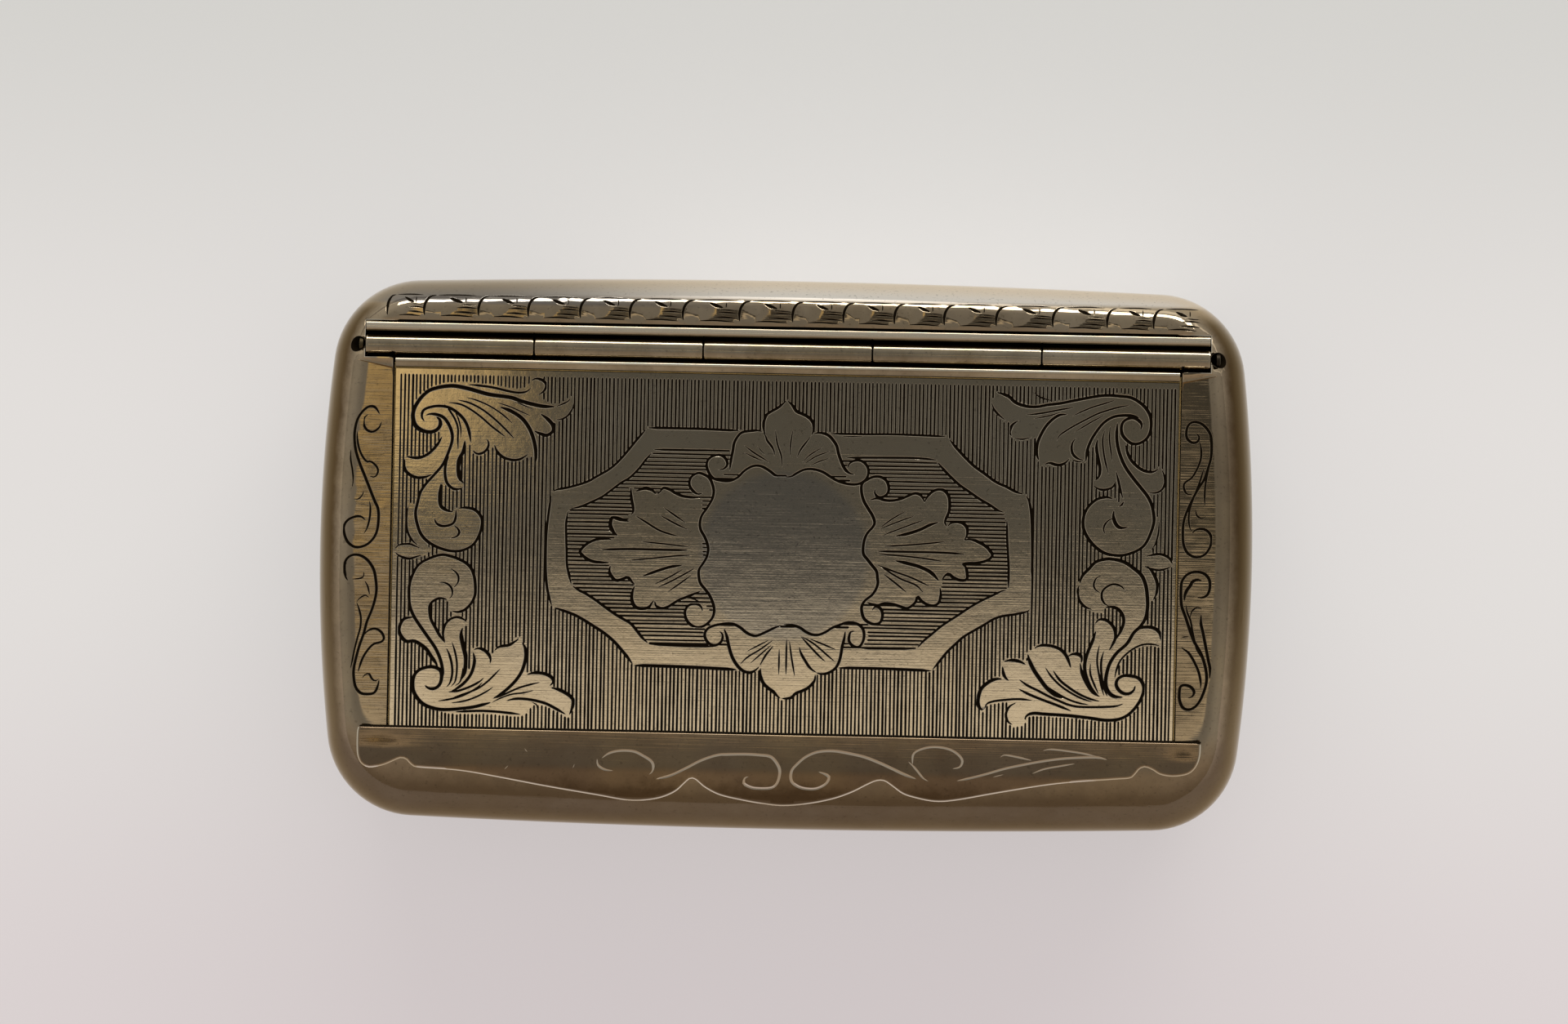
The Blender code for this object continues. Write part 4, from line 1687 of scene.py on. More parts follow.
@dataclass(frozen=True)
class Thumbpiece:
    """The thumbpiece's form: a sheet over the rounded front wall with a scalloped lower edge."""

    outline: tuple[Point, ...] = (
        (-38.0, -16.0), (-38.25, -16.5), (-38.25, -18.4), (-38.0, -19.3), (-37.5, -19.75), (-36.9, -19.85),
        (-35.8, -19.6), (-34.9, -19.2), (-34.3, -18.95), (-33.8, -19.05), (-33.4, -19.45), (-32.8, -19.75),
        (-30.0, -19.9), (-28.0, -20.1), (-25.0, -20.6), (-21.0, -21.3), (-16.5, -22.0), (-14.0, -22.4),
        (-12.3, -22.4), (-10.7, -22.1), (-9.4, -21.5), (-8.6, -20.75), (-8.1, -20.3), (-7.7, -20.3),
        (-7.3, -20.6), (-6.7, -21.1), (-5.4, -21.75), (-3.4, -22.2), (-1.5, -22.5), (0.4, -22.65),
        (2.7, -22.4), (4.9, -21.9), (6.6, -21.25), (7.9, -20.55), (8.8, -20.15), (9.5, -20.15),
        (10.2, -20.6), (11.1, -21.25), (12.1, -21.6), (14.0, -21.95), (16.0, -21.8), (20.0, -21.0),
        (25.0, -20.1), (30.0, -19.6), (31.6, -19.45), (32.1, -19.1), (32.5, -18.6), (33.0, -18.4),
        (33.7, -18.65), (34.4, -19.05), (35.6, -19.2), (36.9, -18.95), (37.6, -18.3), (37.95, -17.3),
        (38.0, -16.0),
    )
    seam: float = 8.75
    case_front: float = -25.0
    roll: float = 9.0
    rim: float = 17.0
    flat: float = 16.5
    lift: float = 1.0
    sheet: float = 0.6
    edge_round: float = 0.22
    chamfer_share: float = 0.7
    crease_round: float = 0.12
    bright_rim_below: float = -16.2
    rear_edge: float = -16.0
    lean: float = 0.045
    bosses: tuple[tuple[float, float, float], ...] = ((-36.2, -18.0, 2.4), (36.5, -17.9, 1.2))
    boss_height: float = 0.082
    boss_width: float = 0.8
    spacing: float = 0.3
    rear_points: int = 180
    row_half: float = 37.4
    row_points: int = 150
    rows: tuple[float, float, float] = (-16.4, -22.4, -0.35)

    def wall(self, points: Points) -> np.ndarray:
        """Height of the front wall under points, at the middle of the box."""
        reach = np.clip(1 - (points[:, 1] - self.case_front) / self.roll, 0, 1)
        return np.minimum(self.flat, self.seam + (self.rim - self.seam) * np.sqrt(1 - reach**2))

    def surface(self, points: Points) -> np.ndarray:
        """Height of the thumbpiece's outer face, which leans forward from its rear edge."""
        lean = self.flat + self.lift - self.lean * np.maximum(0, self.rear_edge - points[:, 1])
        for x, y, reach in self.bosses:
            away = ((points[:, 0] - x) / reach) ** 2 + ((points[:, 1] - y) / self.boss_width) ** 2
            lean += self.boss_height * np.exp(-away)
        return soft_least(self.wall(points) + self.lift, lean, self.crease_round)

    def rim_wear_and_painted_light(self, points: Points) -> np.ndarray:
        """The groove value round the edge: worn bright with a painted highlight, but painted dark where it
        meets the lid, as grime and the shadow in the gap.
        """
        return np.where(points[:, 1] < self.bright_rim_below, -1.0, 1.0)

    def border(self) -> Points:
        """The outline as a closed loop of points."""
        rear = np.linspace(self.outline[-1][0], self.outline[0][0], self.rear_points)[:-1]
        lower = smooth_path(self.outline, self.spacing)[:-1]
        return np.vstack([lower, np.column_stack([rear, np.full(len(rear), self.rear_edge)])])

    def make(self, name: str, engraving: Engraving) -> bpy.types.Object:
        """Builds the thumbpiece.

        Args:
            name: The piece's name.
            engraving: Its engraving.

        Returns:
            The new object.
        """
        border = self.border()
        inner = inset_loop(border, self.edge_round)
        across = np.linspace(-self.row_half, self.row_half, self.row_points)
        rows = [np.column_stack([across, np.full(len(across), y)]) for y in np.arange(*self.rows)]
        sheet = EngravedSheet(
            outline=border,
            inset=inner,
            surface=self.surface,
            thickness=self.sheet,
            chamfer=self.edge_round * self.chamfer_share,
            engraving=engraving,
            guides=line_parts(rows, inner, within=True),
            rim=self.rim_wear_and_painted_light,
        )
        return sheet.make(name)


def inset_loop(loop: Points, distance: float, least_share: float = 0.93) -> Points:
    """A closed loop moved inwards.

    Args:
        loop: Points, anticlockwise.
        distance: How far they move.
        least_share: The share of that distance that a point has to keep from the whole loop.

    Returns:
        The moved points, without those that came too near the loop.
    """
    along = np.roll(loop, -1, axis=0) - np.roll(loop, 1, axis=0)
    along /= np.maximum(np.linalg.norm(along, axis=1, keepdims=True), TINY)
    moved = loop + distance * np.column_stack([-along[:, 1], along[:, 0]])
    gaps = np.linalg.norm(moved[:, None, :] - loop[None, :, :], axis=2).min(axis=1)
    return moved[gaps > distance * least_share]


@dataclass
class Case:
    """The case: both shells, the ledge inside, and the fixed half of the hinge."""

    finishes: Finishes
    engraving: Engraving
    ledge_width: float = 1.2
    trough_floor: float = 14.8
    crest_shoulder: float = 16.74
    # The third value is the groove value: below 0 along the crest, which is painted bright as wear and as a
    # highlight.
    crest: tuple[tuple[float, float, float], ...] = (
        (20.48, 16.86, 0), (20.36, 16.95, -0.6), (20.12, 17.0, -1), (19.92, 16.97, -0.6), (19.78, 16.88, 0),
        (19.70, 16.74, 0),
    )

    def make(self) -> None:
        """Builds the case's pieces."""
        finishes = self.finishes
        outside_in = (finishes.case, finishes.gilt)
        lower = Piece("lower_shell", ("lower_case",), Body.CASE, Slot.TARNISHED, outside_in)
        lower.place(LowerShell().make("lower_shell"))
        upper = Piece("upper_shell", ("upper_case",), Body.CASE, Slot.TARNISHED, outside_in)
        upper.place(UpperShell(self.engraving).make("upper_shell"))
        ledge = Piece("rest_ledge", ("aperture_ledge",), Body.CASE, Slot.GILT, (finishes.gilt,))
        ledge.place(RimFrame("aperture_ledge", self.ledge_width, grime=1.0).make("rest_ledge"))
        trough = Piece("hinge_trough", ("hinge_bearer",), Body.CASE, Slot.RUBBED, (finishes.hinge,))
        trough.place(self.bearer().make("hinge_trough"))

    def bearer(self) -> Bar:
        """The trough that carries the case's tubes, with a rounded crest behind them."""
        low, high = node_box("hinge_bearer")
        foot = ((low[1], low[2], 0), (high[1], low[2], 0), (high[1], self.crest_shoulder, 0))
        floor = ((self.crest[-1][0], self.trough_floor, 0.5), (low[1], self.trough_floor, 0.5))
        return Bar(foot + self.crest + floor, high[0])


@dataclass
class Hinge:
    """The five tubes on the pin, and the two plugs that close the pin's holes."""

    finishes: Finishes
    tubes: tuple[tuple[str, Body], ...] = (
        ("left_case_tube", Body.CASE),
        ("left_lid_tube", Body.LID),
        ("middle_case_tube", Body.CASE),
        ("right_lid_tube", Body.LID),
        ("right_case_tube", Body.CASE),
    )
    radius: float = 0.95
    bore: float = 0.5
    soft: float = 0.09
    soft_share: float = 0.3
    plug_radius: float = 0.55
    plug_face: float = 0.3
    plug_soft: float = 0.06
    plug_sides: int = 32

    def make(self) -> None:
        """Builds the tubes and plugs, and gives the pin its finish."""
        soft, part = self.soft, self.soft * self.soft_share
        rounded = [(0, self.bore), (0, self.radius - soft), (part, self.radius - part)]
        rounded += [(soft, self.radius), (3 * soft, self.radius)]
        for node, body in self.tubes:
            name = node.replace("tube", "knuckle")
            piece = Piece(name, (node,), body, Slot.RUBBED, (self.finishes.hinge,))
            piece.place(Tube(self.profile(node, rounded)).make(name))
        plug_end = [(0, self.plug_face), (self.plug_soft, self.plug_radius)]
        for side in ("left", "right"):
            node = side + "_pin_plug"
            piece = Piece(side + "_plug", (node,), Body.CASE, Slot.PIN, (self.finishes.pin,))
            piece.place(Tube(self.profile(node, plug_end), self.plug_sides, hollow=False).make(piece.name))
        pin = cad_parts["hinge_pin"]
        pin.data.materials.clear()
        pin.data.materials.append(self.finishes.pin)

    def profile(self, node: str, end: list[Point]) -> list[Point]:
        """The profile of a piece that is the same at both ends.

        Args:
            node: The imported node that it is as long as.
            end: Pairs of a distance from the end and the radius there.

        Returns:
            Pairs of an X and the radius there.
        """
        low, high = node_box(node)
        left, right = float(low[0]), float(high[0])
        return [(left + x, r) for x, r in end] + [(right - x, r) for x, r in reversed(end)]


@dataclass(frozen=True)
class Cut:
    """One cut of the graver: its full width in millimetres and the points that it passes through."""

    width: float
    points: tuple[Point, ...]


@dataclass(frozen=True)
class Motif:
    """An ornament, and the areas that the hatched ground leaves bare round it.

    The outline's cuts follow each other round the ornament, so that together they bound a bare area.
    """

    cuts: tuple[Cut, ...] = ()
    outline: tuple[Cut, ...] = ()
    bare: tuple[tuple[Point, ...], ...] = ()
    discs: tuple[tuple[float, float, float], ...] = ()

    def strokes(self) -> list[Stroke]:
        """All its cuts as strokes."""
        return [Stroke.cut(cut.points, cut.width) for cut in self.cuts + self.outline]

    def loop(self) -> Points:
        """The points of its outline as one closed loop."""
        return np.array([point for cut in self.outline for point in cut.points])

    def areas(self) -> list[Points]:
        """The loops inside which no hatch line runs."""
        turn = np.linspace(0, 2 * math.pi, DISC_SIDES, endpoint=False)
        ring = np.column_stack([np.cos(turn), np.sin(turn)])
        loops = [np.array((x, y)) + radius * ring for x, y, radius in self.discs]
        loops += [np.array(loop) for loop in self.bare]
        if self.outline:
            loops.append(self.loop())
        return loops


@dataclass(frozen=True)
class Hatching:
    """Fine parallel lines cut by hand over an area, which stop at the ornaments."""

    area: Points
    bare: list[Points]
    upright: bool
    seed: int
    pitch: float = 0.35
    width: float = 0.23
    sample: float = 0.07
    knot: float = 1.1
    shortest: float = 0.45
    drift: float = 0.02
    wave_lengths: Point = (2.5, 5)
    wave_starts: Point = (0, 6)
    width_shares: Point = (0.85, 1.12)
    knot_shares: Point = (0.85, 1.05)

    def strokes(self) -> list[Stroke]:
        """The lines as strokes, each a little out of place, wavering and of its own width."""
        chance = random.Random(self.seed)
        axis = 0 if self.upright else 1
        low, high = self.area.min(axis=0), self.area.max(axis=0)
        along = np.arange(low[1 - axis], high[1 - axis], self.sample)
        lines = []
        for place in np.arange(low[axis] + self.pitch / 2, high[axis], self.pitch):
            middle = place + chance.uniform(-self.drift, self.drift)
            turn = along / chance.uniform(*self.wave_lengths) + chance.uniform(*self.wave_starts)
            across = middle + self.drift * np.sin(turn)
            lines.append(np.column_stack([across, along] if self.upright else [along, across]))
        points = np.vstack(lines)
        keep = inside_loops(points, [self.area])
        for loop in self.bare:
            keep &= ~inside_loops(points, [loop])
        found = []
        for line, kept in zip(lines, keep.reshape(len(lines), -1)):
            for start, stop in runs(kept):
                if (stop - start) * self.sample >= self.shortest:
                    found.append(self.line(line[start:stop], chance))
        return found

    def line(self, run: Points, chance: random.Random) -> Stroke:
        """One hatch line along a run of points.

        Args:
            run: The points, from end to end.
            chance: Where the line's width and ends come from.

        Returns:
            The stroke.
        """
        last = len(run) - 1
        count = max(2, round(len(run) * self.sample / self.knot) + 1)
        inner = np.linspace(2, last - 2, count)
        at = np.concatenate([[0], inner, [last]])
        path = np.column_stack([np.interp(at, np.arange(len(run)), run[:, i]) for i in range(2)])
        width = self.width * chance.uniform(*self.width_shares)
        swell = [0, *(chance.uniform(*self.knot_shares) for _ in inner), 0]
        return Stroke(path, width / 2 * np.array(swell))


TOP_LEFT_LEAF = Motif(cuts=(
    Cut(0.42, (
        (-20.9, 13.1), (-22, 13.1), (-23.1, 13.3), (-24.1, 13.55), (-25, 13.85), (-27, 14.1),
        (-28.75, 14.55), (-30.35, 14.8), (-32, 14.5), (-32.8, 14), (-33.4, 13.25), (-33.75, 12.5),
        (-33.8, 11.85), (-33.6, 11.2), (-33.15, 10.8), (-32.6, 10.6), (-32.05, 10.6), (-31.55, 10.85),
        (-31.3, 11.3), (-31.4, 11.75), (-31.75, 12),
    )),
    Cut(0.3, (
        (-32.7, 11.5), (-32.95, 11.8), (-33, 12.2), (-32.8, 12.6), (-32.2, 12.85), (-31.5, 12.95),
        (-30.7, 12.87), (-29.95, 12.5), (-29.2, 11.8), (-28.75, 10.9), (-28.5, 9.65),
    )),
    Cut(0.32, (
        (-32.7, 12.05), (-32.35, 12.2), (-31.8, 12.2), (-31.15, 12), (-30.7, 11.55), (-30.3, 10.75),
        (-30.2, 9.95), (-30.45, 9), (-31, 7.7), (-31.8, 6.7), (-32.5, 5.9), (-33, 5.1), (-33.25, 4.1),
        (-33.4, 3.25), (-33.25, 2.3), (-32.85, 1.3), (-32.15, 0.6), (-31.15, 0.1), (-30.05, -0.15),
        (-29.05, -0.05), (-28.1, 0.5), (-27.55, 1.5), (-27.35, 2.45), (-27.45, 3), (-27.85, 3.5),
        (-28.4, 3.75), (-29.05, 3.8), (-29.6, 3.7),
    )),
    Cut(0.2, ((-30.7, 13.3), (-29.55, 13.15), (-28.6, 12.7), (-27.6, 12), (-26.65, 11.2), (-25.35, 10.25))),
    Cut(0.2, (
        (-29.85, 13.55), (-28.75, 13.3), (-27.6, 12.75), (-26.5, 11.95), (-25.5, 11.05), (-24.55, 10.1),
    )),
    Cut(0.16, ((-29.05, 13.8), (-27.95, 13.5), (-26.8, 13), (-25.7, 12.3), (-24.7, 11.45))),
    Cut(0.38, (
        (-26, 13), (-24.9, 12.6), (-23.9, 11.95), (-23.2, 11), (-22.8, 9.95), (-22.6, 8.8), (-22.7, 7.7),
    )),
    Cut(0.14, ((-26.3, 13.4), (-25, 13), (-24.05, 12.6), (-23.1, 12.2))),
    Cut(0.14, ((-24.7, 13.5), (-23.75, 13.15), (-22.8, 12.75))),
    Cut(0.3, ((-26.4, 9.6), (-26.1, 8.9), (-25.5, 8.4), (-24.7, 8.2), (-24, 8.3), (-23.25, 8.8))),
    Cut(0.3, ((-28.4, 9.05), (-27.95, 8.7), (-27.4, 8.8), (-27, 9.2), (-26.9, 9.7), (-27.1, 10.1))),
    Cut(0.38, (
        (-22.3, 12.45), (-21.65, 12), (-21.15, 11.45), (-21.1, 10.9), (-21.65, 10.5), (-22.3, 10.65),
        (-22.85, 10.9),
    )),
    Cut(0.2, ((-31, 13.15), (-30.45, 12.5), (-29.95, 11.7), (-29.7, 10.9), (-29.7, 9.95), (-29.65, 9))),
    Cut(0.16, ((-30.1, 12.6), (-29.7, 11.85), (-29.45, 10.9), (-29.45, 9.95))),
    Cut(0.3, (
        (-30.45, 8.5), (-30.75, 7.7), (-30.8, 6.85), (-30.6, 6), (-30.05, 5.5), (-29.4, 5.5), (-29.1, 5.7),
    )),
    Cut(0.42, ((-29.05, 9.95), (-29.15, 8.95), (-29.55, 8.15), (-29.6, 7.2), (-29.45, 6.4), (-29.05, 6))),
    Cut(0.34, ((-31.1, 10.25), (-31.55, 9.45), (-32.3, 8.65), (-33.1, 8.25), (-33.9, 8.25), (-34.4, 8.35))),
    Cut(0.32, ((-34.45, 8.15), (-34.5, 7.35), (-34.15, 6.8), (-33.4, 6.45), (-32.6, 6.5), (-31.9, 6.8))),
    Cut(0.26, (
        (-28.9, 14.95), (-27.6, 14.85), (-26.5, 14.7), (-25.35, 14.45), (-24.4, 14.3), (-23.6, 14.4),
        (-23.1, 14.8),
    )),
    Cut(0.3, (
        (-23.2, 15.35), (-22.8, 15.6), (-22.2, 15.5), (-21.8, 15.1), (-21.95, 14.55), (-22.55, 14.05),
    )),
    Cut(0.24, ((-20.9, 13.1), (-20.4, 13.3), (-19.8, 13.6), (-19.5, 13.95))),
    Cut(0.24, ((-19.25, 13.5), (-19.4, 12.9), (-19.8, 12.3), (-20.3, 12), (-20.9, 11.9))),
    Cut(0.3, (
        (-31.7, 2.85), (-31.5, 2.35), (-31, 2.1), (-30.45, 2.15), (-29.95, 2.4), (-29.75, 2.95),
        (-29.75, 3.7),
    )),
    Cut(0.28, ((-29.95, 2.2), (-29.55, 1.9), (-29.4, 1.5), (-29.7, 1.15), (-30.25, 1))),
    Cut(0.36, ((-31.15, 6), (-31.25, 4.7), (-31.1, 3.9), (-30.5, 3.5), (-29.95, 3.4))),
    Cut(0.24, ((-34.05, 3.9), (-34.2, 3.1), (-34.2, 2.1), (-34, 1.3), (-33.6, 0.7), (-33.1, 0.3))),
    Cut(0.24, ((-35.25, -0.15), (-34.95, 0.25), (-34.4, 0.4), (-33.8, 0.4), (-33.3, 0.2), (-32.85, 0.05))),
    Cut(0.28, ((-35.2, -0.3), (-34.9, -0.6), (-34.3, -0.85), (-33.8, -0.9), (-33.2, -0.7), (-32.7, -0.55))),
), bare=(
    (
        (-33.9, 12), (-33.7, 13.1), (-33.1, 14), (-32.2, 14.6), (-31, 14.95), (-29, 15.1), (-26.3, 14.85),
        (-25.2, 14.6), (-24.3, 14.5), (-23.6, 14.7), (-23.2, 15.2), (-22.8, 15.7), (-22.2, 15.65),
        (-21.75, 15.15), (-21.9, 14.5), (-22.5, 13.9), (-21.5, 13.3), (-20.7, 13.2), (-19.5, 13.95),
        (-19.2, 13.5), (-19.35, 12.9), (-19.8, 12.2), (-20.95, 11.8), (-21, 11), (-21.5, 10.45),
        (-22.2, 10.55), (-22.7, 10.6), (-22.6, 8.6), (-23.2, 8.7), (-24, 8.2), (-25, 8.1), (-25.8, 8.5),
        (-26.4, 9.5), (-26.9, 9.2), (-27.4, 8.7), (-28, 8.6), (-28.5, 9), (-28.6, 9.6), (-29, 9.6),
        (-29.3, 8.5), (-29.5, 7.5), (-29.4, 6.5), (-29.1, 5.85), (-29.5, 5.4), (-30.1, 5.4), (-30.7, 5.9),
        (-31, 6.2), (-31.25, 5.5), (-31.3, 4.6), (-31.1, 3.9), (-30.5, 3.45), (-29.9, 3.4), (-29.6, 3.75),
        (-28.4, 3.8), (-27.8, 3.5), (-27.4, 3), (-27.3, 2.4), (-27.5, 1.5), (-28.1, 0.5), (-29.05, -0.1),
        (-30, -0.2), (-31.1, 0.05), (-32.1, 0.55), (-32.85, 1.3), (-33.3, 2.3), (-33.45, 3.3), (-33.3, 4.2),
        (-33, 5.1), (-32.4, 6), (-31.8, 6.7), (-32.6, 6.45), (-33.4, 6.4), (-34.1, 6.7), (-34.55, 7.4),
        (-34.45, 8.3), (-33.1, 8.3), (-32.3, 8.7), (-31.6, 9.4), (-31.15, 10.2), (-31.3, 10.8),
        (-31.9, 10.55), (-32.6, 10.55), (-33.2, 10.75), (-33.65, 11.2),
    ),
    (
        (-34.05, 3.9), (-34.25, 3.1), (-34.2, 2.1), (-34, 1.3), (-33.5, 0.6), (-32.9, 0.25), (-32.1, 0.55),
        (-32.85, 1.3), (-33.3, 2.3), (-33.45, 3.3), (-33.6, 4.2),
    ),
    (
        (-35.3, -0.2), (-34.95, 0.25), (-34.4, 0.45), (-33.8, 0.45), (-32.8, 0.1), (-32, 0), (-32.3, -0.4),
        (-33.2, -0.75), (-33.8, -0.95), (-34.3, -0.9), (-34.9, -0.65),
    ),
))

BOTTOM_LEFT_LEAF = Motif(cuts=(
    Cut(0.32, (
        (-30.75, -12), (-30.65, -11.3), (-30.75, -10.5), (-31, -9.7), (-31.4, -8.9), (-31.97, -8.1),
        (-32.7, -7.1), (-33.35, -6.15), (-33.75, -5.2), (-33.85, -4.2), (-33.8, -3.1), (-33.35, -1.9),
        (-32.8, -1.25), (-31.95, -0.8), (-31, -0.5), (-30.2, -0.6), (-29.2, -0.95), (-28.4, -1.5),
        (-28, -2.3), (-27.85, -3.4), (-27.9, -4.2), (-28.25, -4.9), (-28.8, -5.45), (-29.4, -5.65),
        (-30, -5.55),
    )),
    Cut(0.22, ((-30.2, -1.7), (-29.7, -2), (-29.4, -2.45), (-29.45, -3), (-29.85, -3.5))),
    Cut(0.22, (
        (-31.25, -3), (-30.7, -3), (-30.2, -3.25), (-29.95, -3.65), (-29.95, -4.15), (-30.25, -4.5),
    )),
    Cut(0.3, (
        (-30.3, -4.6), (-30.7, -4.45), (-31.15, -4.45), (-31.65, -4.7), (-31.95, -5.1), (-31.95, -5.7),
        (-31.8, -6.4), (-31.4, -7.1), (-31, -7.8), (-30.45, -8.5),
    )),
    Cut(0.28, (
        (-28.5, -6.55), (-29.05, -6.2), (-29.55, -6.12), (-30.05, -6.3), (-30.45, -6.7), (-30.65, -7.2),
        (-30.7, -7.75), (-30.5, -8.4),
    )),
    Cut(0.36, (
        (-33.35, -6.2), (-33.9, -6.25), (-34.3, -6.4), (-34.6, -6.9), (-34.7, -7.45), (-34.45, -8),
        (-34, -8.4), (-33.35, -8.35), (-32.8, -8.6), (-32.2, -9.05), (-31.75, -9.7), (-31.3, -10.3),
        (-31.1, -10.75),
    )),
    Cut(0.36, (
        (-32.3, -12.3), (-32, -12.55), (-31.6, -12.65), (-31.15, -12.5), (-30.85, -12.1), (-30.75, -11.5),
        (-30.85, -11), (-31.2, -10.75), (-31.7, -10.65), (-32.3, -10.75), (-32.85, -11), (-33.2, -11.4),
        (-33.35, -12), (-33.3, -12.8), (-33, -13.4), (-32.5, -13.95), (-31.8, -14.3), (-30.8, -14.5),
        (-29.5, -14.45), (-28, -14.25), (-27, -14), (-26.2, -13.75),
    )),
    Cut(0.22, (
        (-31.1, -13.75), (-30.2, -13.6), (-29.2, -13.35), (-28.3, -12.95), (-27.5, -12.45), (-27, -11.9),
    )),
    Cut(0.26, ((-30.2, -12.9), (-29.3, -12.8), (-28.2, -12.4), (-27.3, -11.9), (-26.9, -11.5))),
    Cut(0.22, ((-29.7, -13.4), (-28.4, -12.95), (-27.4, -12.5), (-26.5, -11.8), (-25.4, -10.65))),
    Cut(0.2, ((-29.9, -13.9), (-28.7, -13.7), (-27.6, -13.3), (-26.6, -12.75), (-26, -12.3))),
    Cut(0.24, (
        (-30.35, -12.5), (-30, -12.1), (-29.8, -11.3), (-29.85, -10.4), (-30.1, -9.5), (-30.4, -8.9),
    )),
    Cut(0.2, (
        (-29.95, -12.45), (-29.55, -12), (-29.4, -11.2), (-29.4, -10.2), (-29.6, -9.2), (-29.9, -8.3),
    )),
    Cut(0.2, ((-29.6, -12.4), (-29.1, -12), (-28.9, -11.3), (-28.85, -10.6))),
    Cut(0.42, (
        (-28.9, -7), (-29.05, -7.5), (-29, -8.1), (-28.8, -8.9), (-28.6, -9.7), (-28.6, -10.5),
        (-28.75, -11.3), (-29.1, -11.9),
    )),
    Cut(0.34, (
        (-27.95, -9.2), (-27.8, -10), (-27.95, -10.85), (-28.25, -11.5), (-28.75, -12.1), (-29.4, -12.6),
        (-29.9, -12.85),
    )),
    Cut(0.32, (
        (-27.95, -9.05), (-27.45, -8.9), (-26.95, -9.05), (-26.55, -9.4), (-26.35, -9.85), (-26.4, -10.3),
    )),
    Cut(0.32, (
        (-26.05, -9.15), (-25.75, -8.8), (-25.3, -8.65), (-24.7, -8.55), (-24.3, -8.3), (-23.95, -8.05),
        (-23.85, -7.8),
    )),
    Cut(0.36, (
        (-23.55, -8.25), (-23.25, -8.75), (-23.15, -9.4), (-23.25, -10.1), (-23.5, -10.9), (-24, -11.7),
        (-24.65, -12.4), (-25.35, -13), (-26.1, -13.45),
    )),
    Cut(0.34, (
        (-23.1, -11.2), (-22.45, -11.03), (-21.7, -11.03), (-21.1, -11.2), (-20.7, -11.5), (-20.65, -11.85),
        (-21, -12.2),
    )),
    Cut(0.22, (
        (-21.8, -11.85), (-22.6, -12.05), (-23.6, -12.35), (-24.4, -12.7), (-25, -13), (-25.8, -13.4),
    )),
    Cut(0.18, ((-22.35, -12.6), (-23.4, -12.85), (-24.4, -13), (-25.35, -13.35), (-26.2, -13.8))),
    Cut(0.28, (
        (-24.9, -13.6), (-24.05, -13.4), (-23.1, -13.4), (-22.1, -13.55), (-21.2, -13.8), (-20.2, -14.3),
        (-19.4, -14.75),
    )),
    Cut(0.34, (
        (-20.9, -12.3), (-20.1, -12.5), (-19.3, -12.9), (-18.85, -13.3), (-18.8, -13.7), (-18.9, -14.2),
        (-19.15, -14.8),
    )),
    Cut(0.26, (
        (-29.5, -14.7), (-28.2, -14.6), (-27, -14.55), (-25.7, -14.6), (-24.5, -14.7), (-23.5, -14.8),
    )),
    Cut(0.2, ((-22.6, -13.65), (-22.1, -13.9), (-22, -14.5))),
), bare=(
    (
        (-29.4, -5.75), (-28.8, -5.5), (-28.2, -4.95), (-27.85, -4.2), (-27.8, -3.4), (-27.95, -2.4),
        (-28.4, -1.45), (-29.2, -0.9), (-30.2, -0.5), (-31, -0.4), (-31.95, -0.7), (-32.8, -1.2),
        (-33.35, -1.9), (-33.8, -3.1), (-33.9, -4.2), (-33.8, -5.2), (-33.4, -6.15), (-33.9, -6.2),
        (-34.3, -6.35), (-34.65, -6.9), (-34.75, -7.45), (-34.5, -8), (-34, -8.4), (-33.35, -8.4),
        (-32.8, -8.65), (-32.2, -9.1), (-31.75, -9.75), (-31.2, -10.6), (-31.7, -10.6), (-32.3, -10.7),
        (-32.85, -10.95), (-33.25, -11.4), (-33.4, -12), (-33.35, -12.8), (-33.05, -13.4), (-32.5, -14),
        (-31.8, -14.35), (-30.8, -14.6), (-29.5, -14.8), (-27, -14.7), (-24.5, -14.85), (-23.5, -14.9),
        (-22.9, -14.5), (-22.4, -13.8), (-21.4, -13.85), (-20.3, -14.35), (-19.4, -14.85), (-19.1, -14.85),
        (-18.85, -14.2), (-18.75, -13.7), (-18.8, -13.3), (-19.3, -12.85), (-20.1, -12.45),
        (-20.85, -12.25), (-20.6, -11.8), (-20.7, -11.4), (-21.2, -11.1), (-22, -10.95), (-22.8, -11.05),
        (-23.3, -11.2), (-23.2, -10.3), (-23.1, -9.4), (-23.2, -8.75), (-23.5, -8.2), (-23.9, -7.7),
        (-24.3, -8.25), (-24.7, -8.5), (-25.3, -8.6), (-25.75, -8.75), (-26.1, -9.2), (-26.3, -9.7),
        (-26.5, -9.35), (-26.95, -9), (-27.45, -8.85), (-27.95, -9), (-28.05, -10.4), (-28.35, -11),
        (-28.5, -10.2), (-28.6, -9.2), (-28.8, -8), (-28.85, -7), (-28.5, -6.6), (-29.05, -6.15),
        (-29.55, -6.05), (-30.05, -6.25), (-30.45, -6.6), (-30.7, -7.2), (-30.75, -8.2), (-31, -7.75),
        (-31.4, -7.05), (-31.85, -6.4), (-32, -5.7), (-31.95, -5.1), (-31.6, -4.65), (-31.1, -4.4),
        (-30.7, -4.45), (-30.3, -4.6), (-30.1, -5.5),
    ),
))

